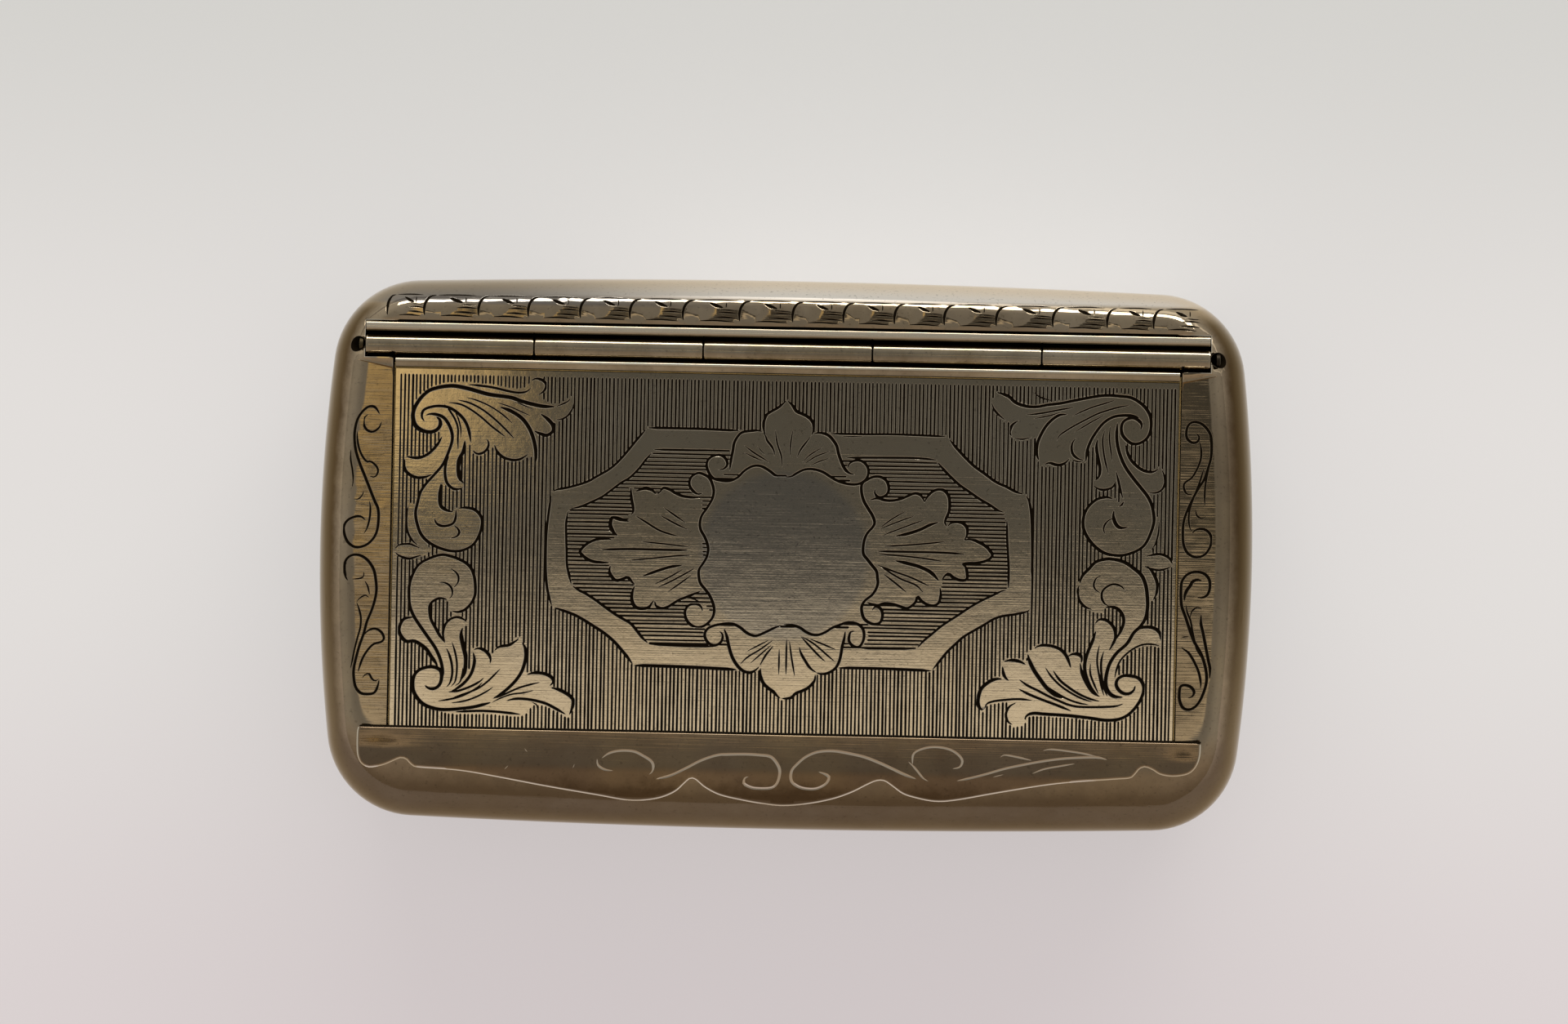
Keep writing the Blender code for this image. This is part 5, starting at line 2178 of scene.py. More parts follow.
TOP_RIGHT_LEAF = Motif(cuts=(
    Cut(0.34, (
        (18.9, 15.2), (20, 14.85), (20.65, 14.3), (21.6, 13.97), (22.6, 13.94), (23.55, 14.13),
        (24.85, 14.32), (26.1, 14.6), (28.05, 15), (29.05, 15.1), (30, 15.05), (31, 14.95), (31.75, 14.6),
        (32.4, 14.05), (32.85, 13.3), (32.95, 12.5), (32.85, 11.8), (32.5, 11.2), (31.85, 10.8),
        (31.2, 10.8), (30.7, 11.15), (30.35, 11.6), (30.25, 12.2), (30.4, 12.7), (30.8, 13), (31.35, 13.1),
        (31.85, 12.85), (32.1, 12.45), (31.95, 11.95),
    )),
    Cut(0.34, (
        (27.1, 9), (27.2, 9.95), (27.5, 10.9), (28.05, 11.85), (28.7, 12.65), (29.5, 13.15), (30.3, 13.3),
        (31.3, 13.3), (31.9, 13.1),
    )),
    Cut(0.2, ((29.7, 14.7), (28.7, 14.35), (27.75, 14.05), (26.8, 13.65), (25.8, 13.15))),
    Cut(0.22, (
        (31, 14.25), (30, 14.05), (29, 13.75), (28.05, 13.4), (27.1, 12.9), (26.1, 12.35), (25.3, 11.85),
        (24.7, 11.4), (24.45, 10.9),
    )),
    Cut(0.18, ((28.7, 13.3), (27.6, 12.7), (26.8, 12.2), (26, 11.7))),
    Cut(0.22, ((21.6, 13.2), (22.6, 13.3), (23.7, 13.5), (24.85, 13.75), (26, 13.95))),
    Cut(0.18, ((22.3, 12.85), (23.7, 13.15), (24.8, 13.5))),
    Cut(0.36, (
        (25.4, 13.3), (24.7, 13.25), (24.05, 12.85), (23.45, 12.2), (23, 11.4), (22.7, 10.6), (22.65, 9.75),
        (22.9, 9.05),
    )),
    Cut(0.34, ((23.3, 8.7), (23.8, 8.9), (24.35, 8.75), (24.9, 8.75), (25.4, 9.05), (25.65, 9.4))),
    Cut(0.24, ((25.7, 9.3), (26.4, 9.05), (26.95, 9.15))),
    Cut(0.28, ((26.2, 11.2), (25.9, 10.8), (25.8, 10.25), (25.95, 9.7), (26.45, 9.3), (27, 9.2))),
    Cut(0.34, ((28.15, 11.2), (28.05, 10.4), (28.2, 9.45), (28.4, 8.5), (28.3, 7.7), (27.9, 7.35))),
    Cut(0.28, ((27.8, 6.95), (28.4, 6.6), (29.05, 6.6), (29.6, 6.85), (29.9, 7.45))),
    Cut(0.34, (
        (29.9, 12.7), (29.85, 11.55), (29.95, 10.6), (30.25, 9.6), (30.7, 8.65), (31.35, 7.75),
        (32.1, 6.85), (32.75, 6.05), (33.15, 5.25), (33.35, 4.3), (33.35, 3.6), (33.05, 2.6), (32.6, 1.7),
        (31.95, 1.15), (30.95, 0.75), (30.1, 0.65), (29.1, 0.8), (28.3, 1.25), (27.6, 1.95), (27.1, 2.8),
        (26.97, 3.6), (27.1, 4.4), (27.5, 5.1), (28.2, 5.7), (29, 5.9), (29.7, 5.75),
    )),
    Cut(0.2, ((28.8, 12), (28.6, 11.1), (28.7, 9.95), (28.95, 8.8), (29.2, 8))),
    Cut(0.18, ((29.25, 12.35), (29.2, 11.2), (29.35, 10.1), (29.5, 9.15))),
    Cut(0.26, ((29.85, 8.3), (30.1, 7.35), (30.3, 6.55), (30.55, 5.75))),
    Cut(0.42, ((30.65, 5.6), (30.4, 5.2), (30.1, 5.05))),
    Cut(0.32, (
        (30.65, 10.75), (30.85, 10), (31.2, 9.3), (31.8, 8.7), (32.4, 8.35), (33.05, 8.25), (33.5, 8.4),
        (33.7, 8.65),
    )),
    Cut(0.26, ((33.95, 8.55), (34.2, 8), (34.3, 7.35), (34.05, 6.7), (33.55, 6.4), (32.8, 6.35))),
    Cut(0.38, ((29.75, 4.8), (29.7, 4.2), (29.85, 3.65), (30.15, 3.25), (30.55, 3.15), (31.1, 3.25))),
    Cut(0.24, ((29.75, 4.05), (29.2, 3.75), (28.87, 3.25), (28.87, 2.8), (29.05, 2.5))),
    Cut(0.22, ((33.85, 3.9), (33.8, 2.8), (33.55, 1.8), (33.15, 1.15))),
    Cut(0.36, ((21, 12.7), (20.4, 12.25), (20.2, 11.6), (20.4, 11.2))),
    Cut(0.22, ((20.5, 11.1), (21.3, 10.98), (22.2, 11.2))),
    Cut(0.24, ((18.5, 14.3), (18.7, 13.7), (19.1, 13.2), (19.8, 12.65))),
    Cut(0.2, ((22.3, 15.3), (22.65, 14.95), (23.2, 14.7), (24, 14.5))),
    Cut(0.3, ((32.65, 0.6), (33.2, 0.75), (34, 0.85), (34.7, 0.6), (35, 0.2), (35.15, -0.1))),
    Cut(0.24, ((32.5, -0.2), (33.05, -0.45), (33.9, -0.6), (34.7, -0.4), (35.1, -0.15))),
), bare=(
    (
        (18.8, 15.2), (20, 14.9), (20.65, 14.35), (21.6, 14.05), (22.6, 14.05), (24.8, 14.45), (27.1, 14.9),
        (28.05, 15.1), (30, 15.2), (31, 15.1), (31.8, 14.7), (32.5, 14.1), (32.95, 13.3), (33.05, 12.5),
        (32.95, 11.8), (32.6, 11.2), (31.95, 10.75), (31.2, 10.7), (30.75, 10.9), (30.85, 10), (31.2, 9.35),
        (31.8, 8.75), (32.4, 8.4), (33.05, 8.3), (33.75, 8.7), (34.05, 8.4), (34.3, 7.9), (34.35, 7.35),
        (34.1, 6.65), (33.55, 6.3), (32.8, 6.3), (33.2, 5.3), (33.45, 4.3), (33.4, 3.6), (33.1, 2.6),
        (32.6, 1.7), (31.95, 1.1), (30.95, 0.7), (30.1, 0.6), (29.1, 0.75), (28.3, 1.2), (27.55, 1.95),
        (27.05, 2.8), (26.9, 3.6), (27.05, 4.4), (27.5, 5.15), (28.1, 5.7), (28.9, 5.9), (29.7, 5.8),
        (30.1, 5.3), (30.5, 5.7), (30.3, 6.55), (29.95, 7.5), (29.65, 6.85), (29.05, 6.55), (28.4, 6.55),
        (27.8, 6.9), (28.3, 7.7), (28.35, 8.5), (28.15, 9.45), (28, 10.4), (27.6, 10.6), (27.2, 9.95),
        (27.1, 9.1), (26.4, 9), (25.7, 9.25), (25.3, 8.9), (24.9, 8.7), (24.3, 8.65), (23.8, 8.75),
        (23.3, 8.6), (22.85, 9), (22.6, 9.75), (22.65, 10.6), (22.9, 11.3), (22.3, 11.2), (21.3, 10.9),
        (20.5, 11), (20.1, 11.8), (20.4, 12.3), (21, 12.75), (20.3, 12.65), (19.7, 12.6), (19, 13.2),
        (18.5, 14),
    ),
    (
        (33.85, 3.9), (33.8, 2.8), (33.55, 1.8), (33.1, 1.1), (32.5, 0.6), (32.6, 1.7), (33.1, 2.6),
        (33.4, 3.6), (33.6, 4.2),
    ),
    (
        (32.5, 0.3), (33.2, 0.8), (34, 0.9), (34.7, 0.65), (35.05, 0.2), (35.2, -0.1), (34.7, -0.45),
        (33.9, -0.65), (33.05, -0.5), (32.4, -0.2),
    ),
))

BOTTOM_RIGHT_LEAF = Motif(cuts=(
    Cut(0.34, (
        (32, -11), (31.85, -11.5), (31.45, -11.8), (30.95, -11.8), (30.5, -11.5), (30.25, -11),
        (30.4, -10.5), (30.9, -10.2), (31.5, -10.2), (32.2, -10.35), (32.65, -10.85), (32.75, -11.5),
        (32.5, -12.3), (32, -13.1), (31.35, -13.75), (30.5, -14.15), (29.35, -14.25), (28.05, -14.1),
        (27.1, -14), (26, -13.9), (24.85, -13.85), (23.7, -13.8), (22.9, -13.75), (22.35, -13.9),
        (22.1, -14.2), (22.2, -14.45),
    )),
    Cut(0.38, (
        (26.77, -2), (27, -1.25), (27.6, -0.6), (28.2, 0.03), (29.05, 0.3), (29.85, 0.3), (30.8, 0.05),
        (31.6, -0.45), (32.35, -1.1), (32.75, -2), (32.9, -2.95), (32.95, -3.9), (32.8, -4.9),
        (32.35, -5.7), (31.75, -6.3), (31.15, -7.3), (30.3, -8.1), (29.75, -8.9), (29.45, -9.7),
        (29.3, -10.7), (29.45, -11.5), (30, -12.05), (30.95, -12.15),
    )),
    Cut(0.36, ((31.75, -6.3), (32.35, -5.85), (33.05, -5.75), (33.7, -5.9), (34.1, -6.3), (34.2, -7))),
    Cut(0.22, (
        (34.2, -7.45), (33.4, -7.3), (32.6, -7.35), (31.8, -7.7), (31.1, -8.25), (30.55, -8.9),
        (30.25, -9.7), (30.1, -10.5),
    )),
    Cut(0.36, (
        (28.35, -6.15), (28.05, -7.1), (27.65, -8.1), (27.4, -9.05), (27.4, -9.85), (27.65, -10.7),
        (28.05, -11.5), (28.7, -12.1),
    )),
    Cut(0.32, (
        (28.2, -5.6), (28.55, -5.2), (29.05, -5.15), (29.6, -5.45), (30, -6), (30.1, -6.8), (29.75, -7.6),
        (29.5, -8),
    )),
    Cut(0.2, ((28.7, -7.4), (28.55, -8.1), (28.5, -9.05), (28.7, -10.2), (28.95, -11.3), (29.2, -12.1))),
    Cut(0.2, ((27.9, -9.05), (27.9, -10.05), (28.25, -11), (28.7, -11.95))),
    Cut(0.24, ((29.1, -7.95), (28.87, -8.9), (28.9, -10.05), (29.1, -11.15), (29.5, -12.15))),
    Cut(0.34, (
        (29.05, -4.05), (29.7, -4), (30.3, -4.2), (30.75, -4.8), (30.8, -5.5), (30.5, -6.3), (30.1, -7),
    )),
    Cut(0.22, ((28.8, -1.2), (28.3, -1.4), (28.05, -2), (28.2, -2.45), (28.7, -2.8))),
    Cut(0.26, (
        (30.9, -2.5), (30.5, -2.1), (29.85, -1.95), (29.3, -2.15), (28.85, -2.6), (28.8, -3.2),
        (29.05, -3.7), (29.5, -3.95),
    )),
    Cut(0.28, ((26.77, -2), (26.6, -2.6), (26.75, -3.4), (27.25, -4), (28, -4.3))),
    Cut(0.32, (
        (22.75, -7.95), (23, -7.75), (23.45, -7.6), (24.1, -7.6), (24.75, -7.75), (25.25, -8), (25.7, -8.5),
        (25.95, -9.05), (26.15, -9.65),
    )),
    Cut(0.38, ((25.8, -8.6), (26.2, -8.35), (26.8, -8.35), (27.1, -8.65), (27.05, -9.2))),
    Cut(0.38, (
        (22.2, -8.35), (22.4, -9.05), (22.8, -9.85), (23.4, -10.7), (24.05, -11.5), (24.85, -12.1),
        (25.55, -12.35),
    )),
    Cut(0.2, (
        (23.8, -9.55), (24.35, -10.35), (25.15, -11.15), (26.1, -11.8), (27.1, -12.3), (28.2, -12.65),
    )),
    Cut(0.24, (
        (24.5, -9.8), (25.15, -10.7), (26.05, -11.4), (26.95, -11.95), (27.9, -12.35), (28.85, -12.55),
    )),
    Cut(0.2, ((24.05, -11.3), (25, -11.95), (26, -12.45), (26.95, -12.75), (27.9, -12.9))),
    Cut(0.24, (
        (21.45, -10.7), (22.25, -11.25), (23.2, -11.7), (24.2, -12.2), (25.15, -12.6), (26.1, -12.95),
        (27.3, -13.1), (30, -13), (31, -12.7),
    )),
    Cut(0.26, ((21.4, -11.55), (22.4, -12.05), (23.7, -12.55), (24.85, -12.95), (26.3, -13.5))),
    Cut(0.3, ((26.95, -9.05), (27.15, -10.05), (27.6, -11), (28.2, -11.8), (28.85, -12.15))),
    Cut(0.36, ((20, -9.15), (20.7, -9), (21.5, -9.1), (22.1, -9.4))),
    Cut(0.38, ((19.95, -9.5), (20.05, -10.2), (20.25, -10.6), (20.6, -10.9))),
    Cut(0.4, (
        (20, -10.7), (19.3, -10.75), (18.7, -11.05), (18.1, -11.6), (17.85, -12.3), (17.8, -13),
        (18.1, -13.5), (18.4, -13.5),
    )),
    Cut(0.24, ((18.4, -13.5), (18.6, -13), (19.2, -12.75), (20.2, -12.6), (21.5, -12.5), (22.75, -12.6))),
    Cut(0.26, ((21.3, -12.8), (20.65, -13.2), (20.35, -13.9), (20.55, -14.55), (21, -14.85))),
    Cut(0.34, ((32.75, -0.2), (33.2, -0.6), (33.6, -1.25), (33.8, -2), (33.7, -2.8), (33.4, -3.35))),
), bare=(
    (
        (26.7, -2.6), (26.65, -1.9), (26.95, -1.2), (27.55, -0.55), (28.2, 0.08), (29.05, 0.35),
        (29.85, 0.35), (30.8, 0.1), (31.6, -0.4), (32.35, -1.05), (32.8, -2), (32.95, -2.95), (33, -3.9),
        (32.85, -4.9), (32.4, -5.7), (33.05, -5.65), (33.7, -5.8), (34.15, -6.3), (34.3, -7.1),
        (34.25, -7.5), (33.4, -7.35), (32.6, -7.4), (31.8, -7.75), (31.1, -8.3), (30.55, -8.95),
        (30.3, -9.7), (30.3, -10.3), (30.9, -10.1), (31.5, -10.1), (32.2, -10.25), (32.7, -10.8),
        (32.85, -11.5), (32.6, -12.3), (32.1, -13.15), (31.4, -13.85), (30.5, -14.25), (29.35, -14.35),
        (27.1, -14.1), (24.85, -13.95), (22.9, -13.9), (22.35, -14), (22.2, -14.5), (21.7, -14.9),
        (21, -14.95), (20.5, -14.6), (20.25, -13.9), (20.6, -13.2), (21.2, -12.75), (20.2, -12.7),
        (19.2, -12.85), (18.6, -13.1), (18.4, -13.6), (18.05, -13.6), (17.75, -13), (17.75, -12.3),
        (18.05, -11.55), (18.65, -10.95), (19.3, -10.65), (20.05, -10.6), (19.85, -10), (19.75, -9.3),
        (20.5, -8.9), (21.2, -8.9), (22.25, -9.2), (22.1, -8.4), (22.65, -8), (23, -7.65), (23.45, -7.5),
        (24.1, -7.5), (24.75, -7.65), (25.3, -7.95), (25.7, -8.45), (26.2, -8.25), (26.8, -8.25),
        (27.1, -8.5), (27.35, -9.2), (27.6, -8.1), (28, -7.1), (28.3, -6.15), (28.15, -5.6), (28.5, -5.15),
        (29.05, -5.1), (29.6, -5.35), (30.05, -6), (30.15, -6.9), (30.5, -6.3), (30.8, -5.5), (30.75, -4.8),
        (30.3, -4.15), (29.7, -3.95), (29.05, -4.05), (28.9, -4.5), (28, -4.35), (27.25, -4.05),
        (26.75, -3.4),
    ),
    (
        (32.6, -0.3), (33.2, -0.65), (33.65, -1.3), (33.85, -2), (33.8, -2.8), (33.4, -3.35), (33, -2.9),
        (32.8, -2), (32.3, -1),
    ),
))

OUTER_BAND = Motif(cuts=(
    Cut(0.16, ((5, 10.9), (7, 10.95))),
), outline=(
    Cut(0.3, (
        (-12.65, 11.25), (-13.5, 10.25), (-14.2, 9.35), (-15, 8.4), (-15.85, 7.6), (-17, 6.9),
        (-17.95, 6.35), (-19.5, 5.85), (-20.65, 5.6), (-21.05, 5.35),
    )),
    Cut(0.28, (
        (-21.15, 5.1), (-21.25, 4.3), (-21.5, 2), (-21.55, 0), (-21.5, -2), (-21.3, -3.6), (-20.9, -4.95),
    )),
    Cut(0.3, (
        (-20.75, -5.05), (-19.8, -5.35), (-18.9, -5.67), (-18.05, -6.1), (-17, -6.73), (-16.1, -7.3),
        (-15.2, -8.04), (-14.5, -8.8), (-13.9, -9.5), (-13.45, -10.1),
    )),
    Cut(0.36, ((-13.4, -10.15), (-9, -10.2), (-4, -10.35))),
    Cut(0.32, ((5.1, -10), (9, -10), (13.6, -10.1))),
    Cut(0.3, (
        (13.6, -10.05), (14.2, -9.3), (14.9, -8.4), (15.6, -7.7), (16.35, -7), (17.3, -6.4), (18.3, -5.8),
        (19, -5.35), (19.8, -5.05), (21, -4.85), (22.1, -4.56), (22.35, -4.3),
    )),
    Cut(0.28, ((22.45, -2), (22.45, 0), (22.4, 2), (22.3, 4), (22.1, 5.3), (21.75, 5.95))),
    Cut(0.3, (
        (21.6, 6), (20.9, 6.2), (20, 6.65), (19, 7.1), (18, 7.8), (17, 8.5), (16.1, 9.35), (15.3, 10.2),
        (14.7, 10.9),
    )),
    Cut(0.26, ((14.5, 11.05), (14, 11.1), (10, 11.2), (7, 11.15), (3.9, 11.15))),
    Cut(0.3, ((-4.2, 11.25), (-8, 11.35), (-12.6, 11.35))),
))

INNER_BAND = Motif(outline=(
    Cut(0.28, (
        (-12.1, 9.15), (-12.7, 8.4), (-13.3, 7.6), (-14.1, 6.8), (-14.9, 6.3), (-15.85, 5.55), (-16.6, 5),
        (-17.6, 4.5), (-18.5, 4.1), (-19.4, 3.9),
    )),
    Cut(0.26, (
        (-19.6, 3.75), (-19.75, 2.5), (-19.7, 1), (-19.65, 0), (-19.6, -1.15), (-19.35, -2.3), (-19.15, -3),
    )),
    Cut(0.28, (
        (-19.1, -3.05), (-18.6, -3.4), (-17.87, -3.75), (-16.9, -4.35), (-16, -5), (-15.1, -5.6),
        (-14.3, -6.05), (-13.7, -6.4), (-13.1, -7.1), (-12.6, -7.7), (-12.1, -8.15),
    )),
    Cut(0.26, ((-12.1, -8.2), (-9, -8.3), (-6, -8.3))),
    Cut(0.26, ((7, -8.2), (12.1, -8.15))),
    Cut(0.28, (
        (12.2, -8.1), (12.8, -7.4), (13.5, -6.8), (14.3, -6.1), (15, -5.6), (15.9, -5), (16.9, -4.3),
        (17.9, -3.7), (18.9, -3.2), (19.8, -2.75), (20.2, -2.7),
    )),
    Cut(0.26, ((20.35, -2.6), (20.35, -1), (20.3, 0), (20.15, 2), (20.1, 3.7))),
    Cut(0.28, (
        (19.9, 4.35), (19.3, 4.5), (18.5, 5), (17.6, 5.5), (16.7, 6.1), (15.8, 6.7), (15, 7.4), (14.3, 8.1),
        (13.7, 8.8),
    )),
    Cut(0.26, ((13.7, 8.95), (12.5, 9.05), (11, 9.1), (8, 9.05), (5.4, 9))),
    Cut(0.26, ((-6, 9.45), (-8, 9.4), (-10, 9.4), (-12, 9.4))),
))

CARTOUCHE = Motif(cuts=(
    Cut(0.3, (
        (-0.08, 7.27), (-0.85, 7.27), (-1.4, 7.65), (-2.2, 8.08), (-2.95, 8.08), (-3.7, 7.65), (-4.3, 7.04),
        (-5, 6.7), (-5.75, 6.7), (-6.5, 6.9), (-6.9, 7.35), (-7.15, 8.05), (-7, 8.6), (-6.5, 8.95),
        (-5.85, 9), (-5.4, 8.65), (-5.27, 8.13), (-5.65, 7.75), (-6.1, 7.7),
    )),
    Cut(0.3, (
        (0, 7.15), (0.5, 7.2), (1, 7.5), (1.7, 7.85), (2.5, 7.9), (3.3, 7.7), (4, 7.3), (4.6, 6.95),
        (5.3, 6.7), (6, 6.6), (6.6, 6.65), (7.15, 6.95), (7.45, 7.4), (7.5, 7.95), (7.25, 8.45),
        (6.8, 8.75), (6.2, 8.75), (5.75, 8.45), (5.6, 8),
    )),
    Cut(0.3, (
        (-7.4, 5.55), (-7.9, 5.45), (-8.35, 5.75), (-8.65, 6.2), (-8.65, 6.7), (-8.4, 7.1), (-7.9, 7.35),
        (-7.4, 7.25), (-6.9, 6.95), (-6.6, 6.4), (-6.45, 5.75), (-6.55, 5.1), (-6.8, 4.6), (-7.1, 4.1),
        (-7.5, 3.5), (-7.65, 2.8), (-7.55, 2.2), (-7.2, 1.6), (-6.95, 1), (-6.85, 0.4), (-7, -0.3),
        (-7.35, -0.9), (-7.65, -1.4), (-7.65, -2), (-7.5, -2.6), (-7.1, -3.1), (-6.7, -3.6), (-6.4, -4.2),
        (-6.2, -4.9), (-6.3, -5.6), (-6.7, -6.15), (-7.2, -6.5), (-7.8, -6.6), (-8.4, -6.3), (-8.75, -5.8),
        (-8.85, -5.2), (-8.6, -4.7), (-8.2, -4.5), (-7.7, -4.5), (-7.35, -4.8), (-7.25, -5.2),
    )),
    Cut(0.2, ((-9, -3.95), (-8.5, -3.95), (-7.9, -4.1), (-7.4, -4.4))),
    Cut(0.32, (
        (8.15, 6.3), (8.1, 5.9), (8.4, 5.5), (8.9, 5.55), (9.3, 5.9), (9.35, 6.5), (9.1, 7.05), (8.5, 7.35),
        (7.9, 7.3), (7.4, 7.05), (6.95, 6.7), (6.9, 6), (7.1, 5.2), (7.5, 4.5), (7.95, 3.8), (8.15, 3.2),
        (8, 2.8), (7.5, 2.2), (7.25, 1.6), (7.15, 0.9), (7.2, 0.3), (7.6, -0.2), (8, -0.7), (8.4, -1.2),
        (8.5, -1.8), (8.55, -2.3), (8.35, -2.9), (8, -3.4), (7.5, -3.8), (7.15, -4.3), (7.15, -4.9),
        (7.35, -5.5), (7.8, -5.85), (8.3, -6), (8.8, -5.85), (9, -5.4), (9, -4.9), (8.75, -4.5),
        (8.3, -4.45), (8.05, -4.8),
    )),
    Cut(0.3, (
        (-5.75, -6.9), (-5.45, -7.1), (-5.4, -7.6), (-5.65, -8), (-6.1, -8.2), (-6.6, -8.05), (-6.95, -7.6),
        (-7, -7.1), (-6.75, -6.7), (-6.3, -6.45), (-5.7, -6.3), (-5, -6.2), (-4.4, -6.25), (-3.8, -6.55),
        (-3.3, -6.95), (-2.8, -7.2), (-2.3, -7.25), (-1.7, -7), (-1.2, -6.75), (-0.6, -6.45), (0, -6.25),
    )),
    Cut(0.3, (
        (6.6, -6.7), (6.2, -6.7), (6.05, -7.1), (6.05, -7.6), (6.4, -8), (6.9, -8.1), (7.25, -7.7),
        (7.4, -7.1), (7.3, -6.5), (6.95, -6.1), (6.4, -5.9), (5.8, -5.9), (5.1, -6.15), (4.5, -6.4),
        (3.9, -6.8), (3.3, -7.05), (2.7, -7.05), (2.1, -6.8), (1.6, -6.45), (1, -6.25), (0.4, -6.2),
        (0, -6.25),
    )),
), bare=(
    (
        (0, 7.2), (-0.85, 7.27), (-1.4, 7.65), (-2.2, 8.08), (-2.95, 8.08), (-3.7, 7.65), (-4.3, 7.04),
        (-5, 6.7), (-6.5, 6.9), (-6.6, 6.4), (-6.45, 5.75), (-6.55, 5.1), (-7.1, 4.1), (-7.5, 3.5),
        (-7.65, 2.8), (-7.55, 2.2), (-6.95, 1), (-6.85, 0.4), (-7, -0.3), (-7.65, -1.4), (-7.65, -2),
        (-7.5, -2.6), (-6.7, -3.6), (-6.2, -4.9), (-6.3, -5.6), (-6.7, -6.15), (-6.3, -6.45), (-5, -6.2),
        (-4.4, -6.25), (-3.3, -6.95), (-2.8, -7.2), (-2.3, -7.25), (-1.2, -6.75), (0, -6.25), (1, -6.25),
        (2.1, -6.8), (2.7, -7.05), (3.3, -7.05), (4.5, -6.4), (5.8, -5.9), (6.4, -5.9), (7.35, -5.5),
        (7.15, -4.9), (7.15, -4.3), (8, -3.4), (8.55, -2.3), (8.4, -1.2), (7.6, -0.2), (7.2, 0.3),
        (7.15, 0.9), (7.5, 2.2), (8, 2.8), (8.15, 3.2), (7.5, 4.5), (6.9, 6), (6.95, 6.7), (6, 6.6),
        (5.3, 6.7), (4, 7.3), (2.5, 7.9), (1.7, 7.85), (1, 7.5),
    ),
), discs=(
    (-6.2, 8.05, 0.95), (6.5, 7.75, 1), (-7.6, 6.35, 1.05), (8.2, 6.35, 1.1), (-7.75, -5.5, 1.1),
    (8.1, -5.2, 0.9), (-6.2, -7.3, 0.9), (6.7, -7.1, 0.95),
))

TOP_PALMETTE = Motif(cuts=(
    Cut(0.24, ((-2.1, 11.15), (-1.9, 10.9), (-1.7, 10.4), (-1.3, 9.9), (-1.05, 9.4), (-1.05, 9))),
    Cut(0.24, ((2.25, 10.9), (1.8, 10.3), (1.3, 9.6), (1, 8.9))),
    Cut(0.18, ((-3.8, 9.95), (-2.9, 9.3), (-1.9, 8.7), (-1.5, 8.4))),
    Cut(0.18, ((-3.8, 9.3), (-2.9, 8.9), (-2, 8.5))),
    Cut(0.16, ((-2.6, 9.9), (-1.9, 9.1))),
    Cut(0.18, ((-1, 11.4), (-0.8, 10.2), (-0.4, 9), (-0.3, 8))),
    Cut(0.18, ((0.6, 11.5), (0.4, 10), (0.4, 9))),
    Cut(0.18, ((1.5, 8.5), (2.2, 9.2), (3.3, 9.9))),
    Cut(0.18, ((1.7, 8.4), (2.8, 9.1), (4, 9.55))),
    Cut(0.18, ((2.2, 8.2), (3, 8.6), (4, 8.95))),
), outline=(
    Cut(0.32, (
        (-5.05, 7.6), (-4.95, 8.6), (-4.8, 9.4), (-4.7, 10.1), (-4.4, 10.7), (-4, 11.1), (-3.3, 11.25),
        (-2.5, 11.3), (-2.1, 11.15),
    )),
    Cut(0.34, (
        (-1.9, 10.9), (-2.05, 11.5), (-2.05, 12.1), (-1.8, 12.75), (-1.3, 13.1), (-0.65, 13.5), (0, 14.1),
    )),
    Cut(0.34, (
        (0, 14.1), (0.55, 13.6), (0.9, 13.1), (1.5, 12.85), (2.1, 12.5), (2.45, 12), (2.45, 11.4),
        (2.25, 10.9),
    )),
    Cut(0.32, (
        (2.4, 11.1), (3.1, 11.2), (3.8, 11), (4.3, 10.5), (4.6, 10), (4.75, 9.4), (5, 8.7), (5.35, 8),
        (5.8, 7.6), (6.3, 7.5),
    )),
))

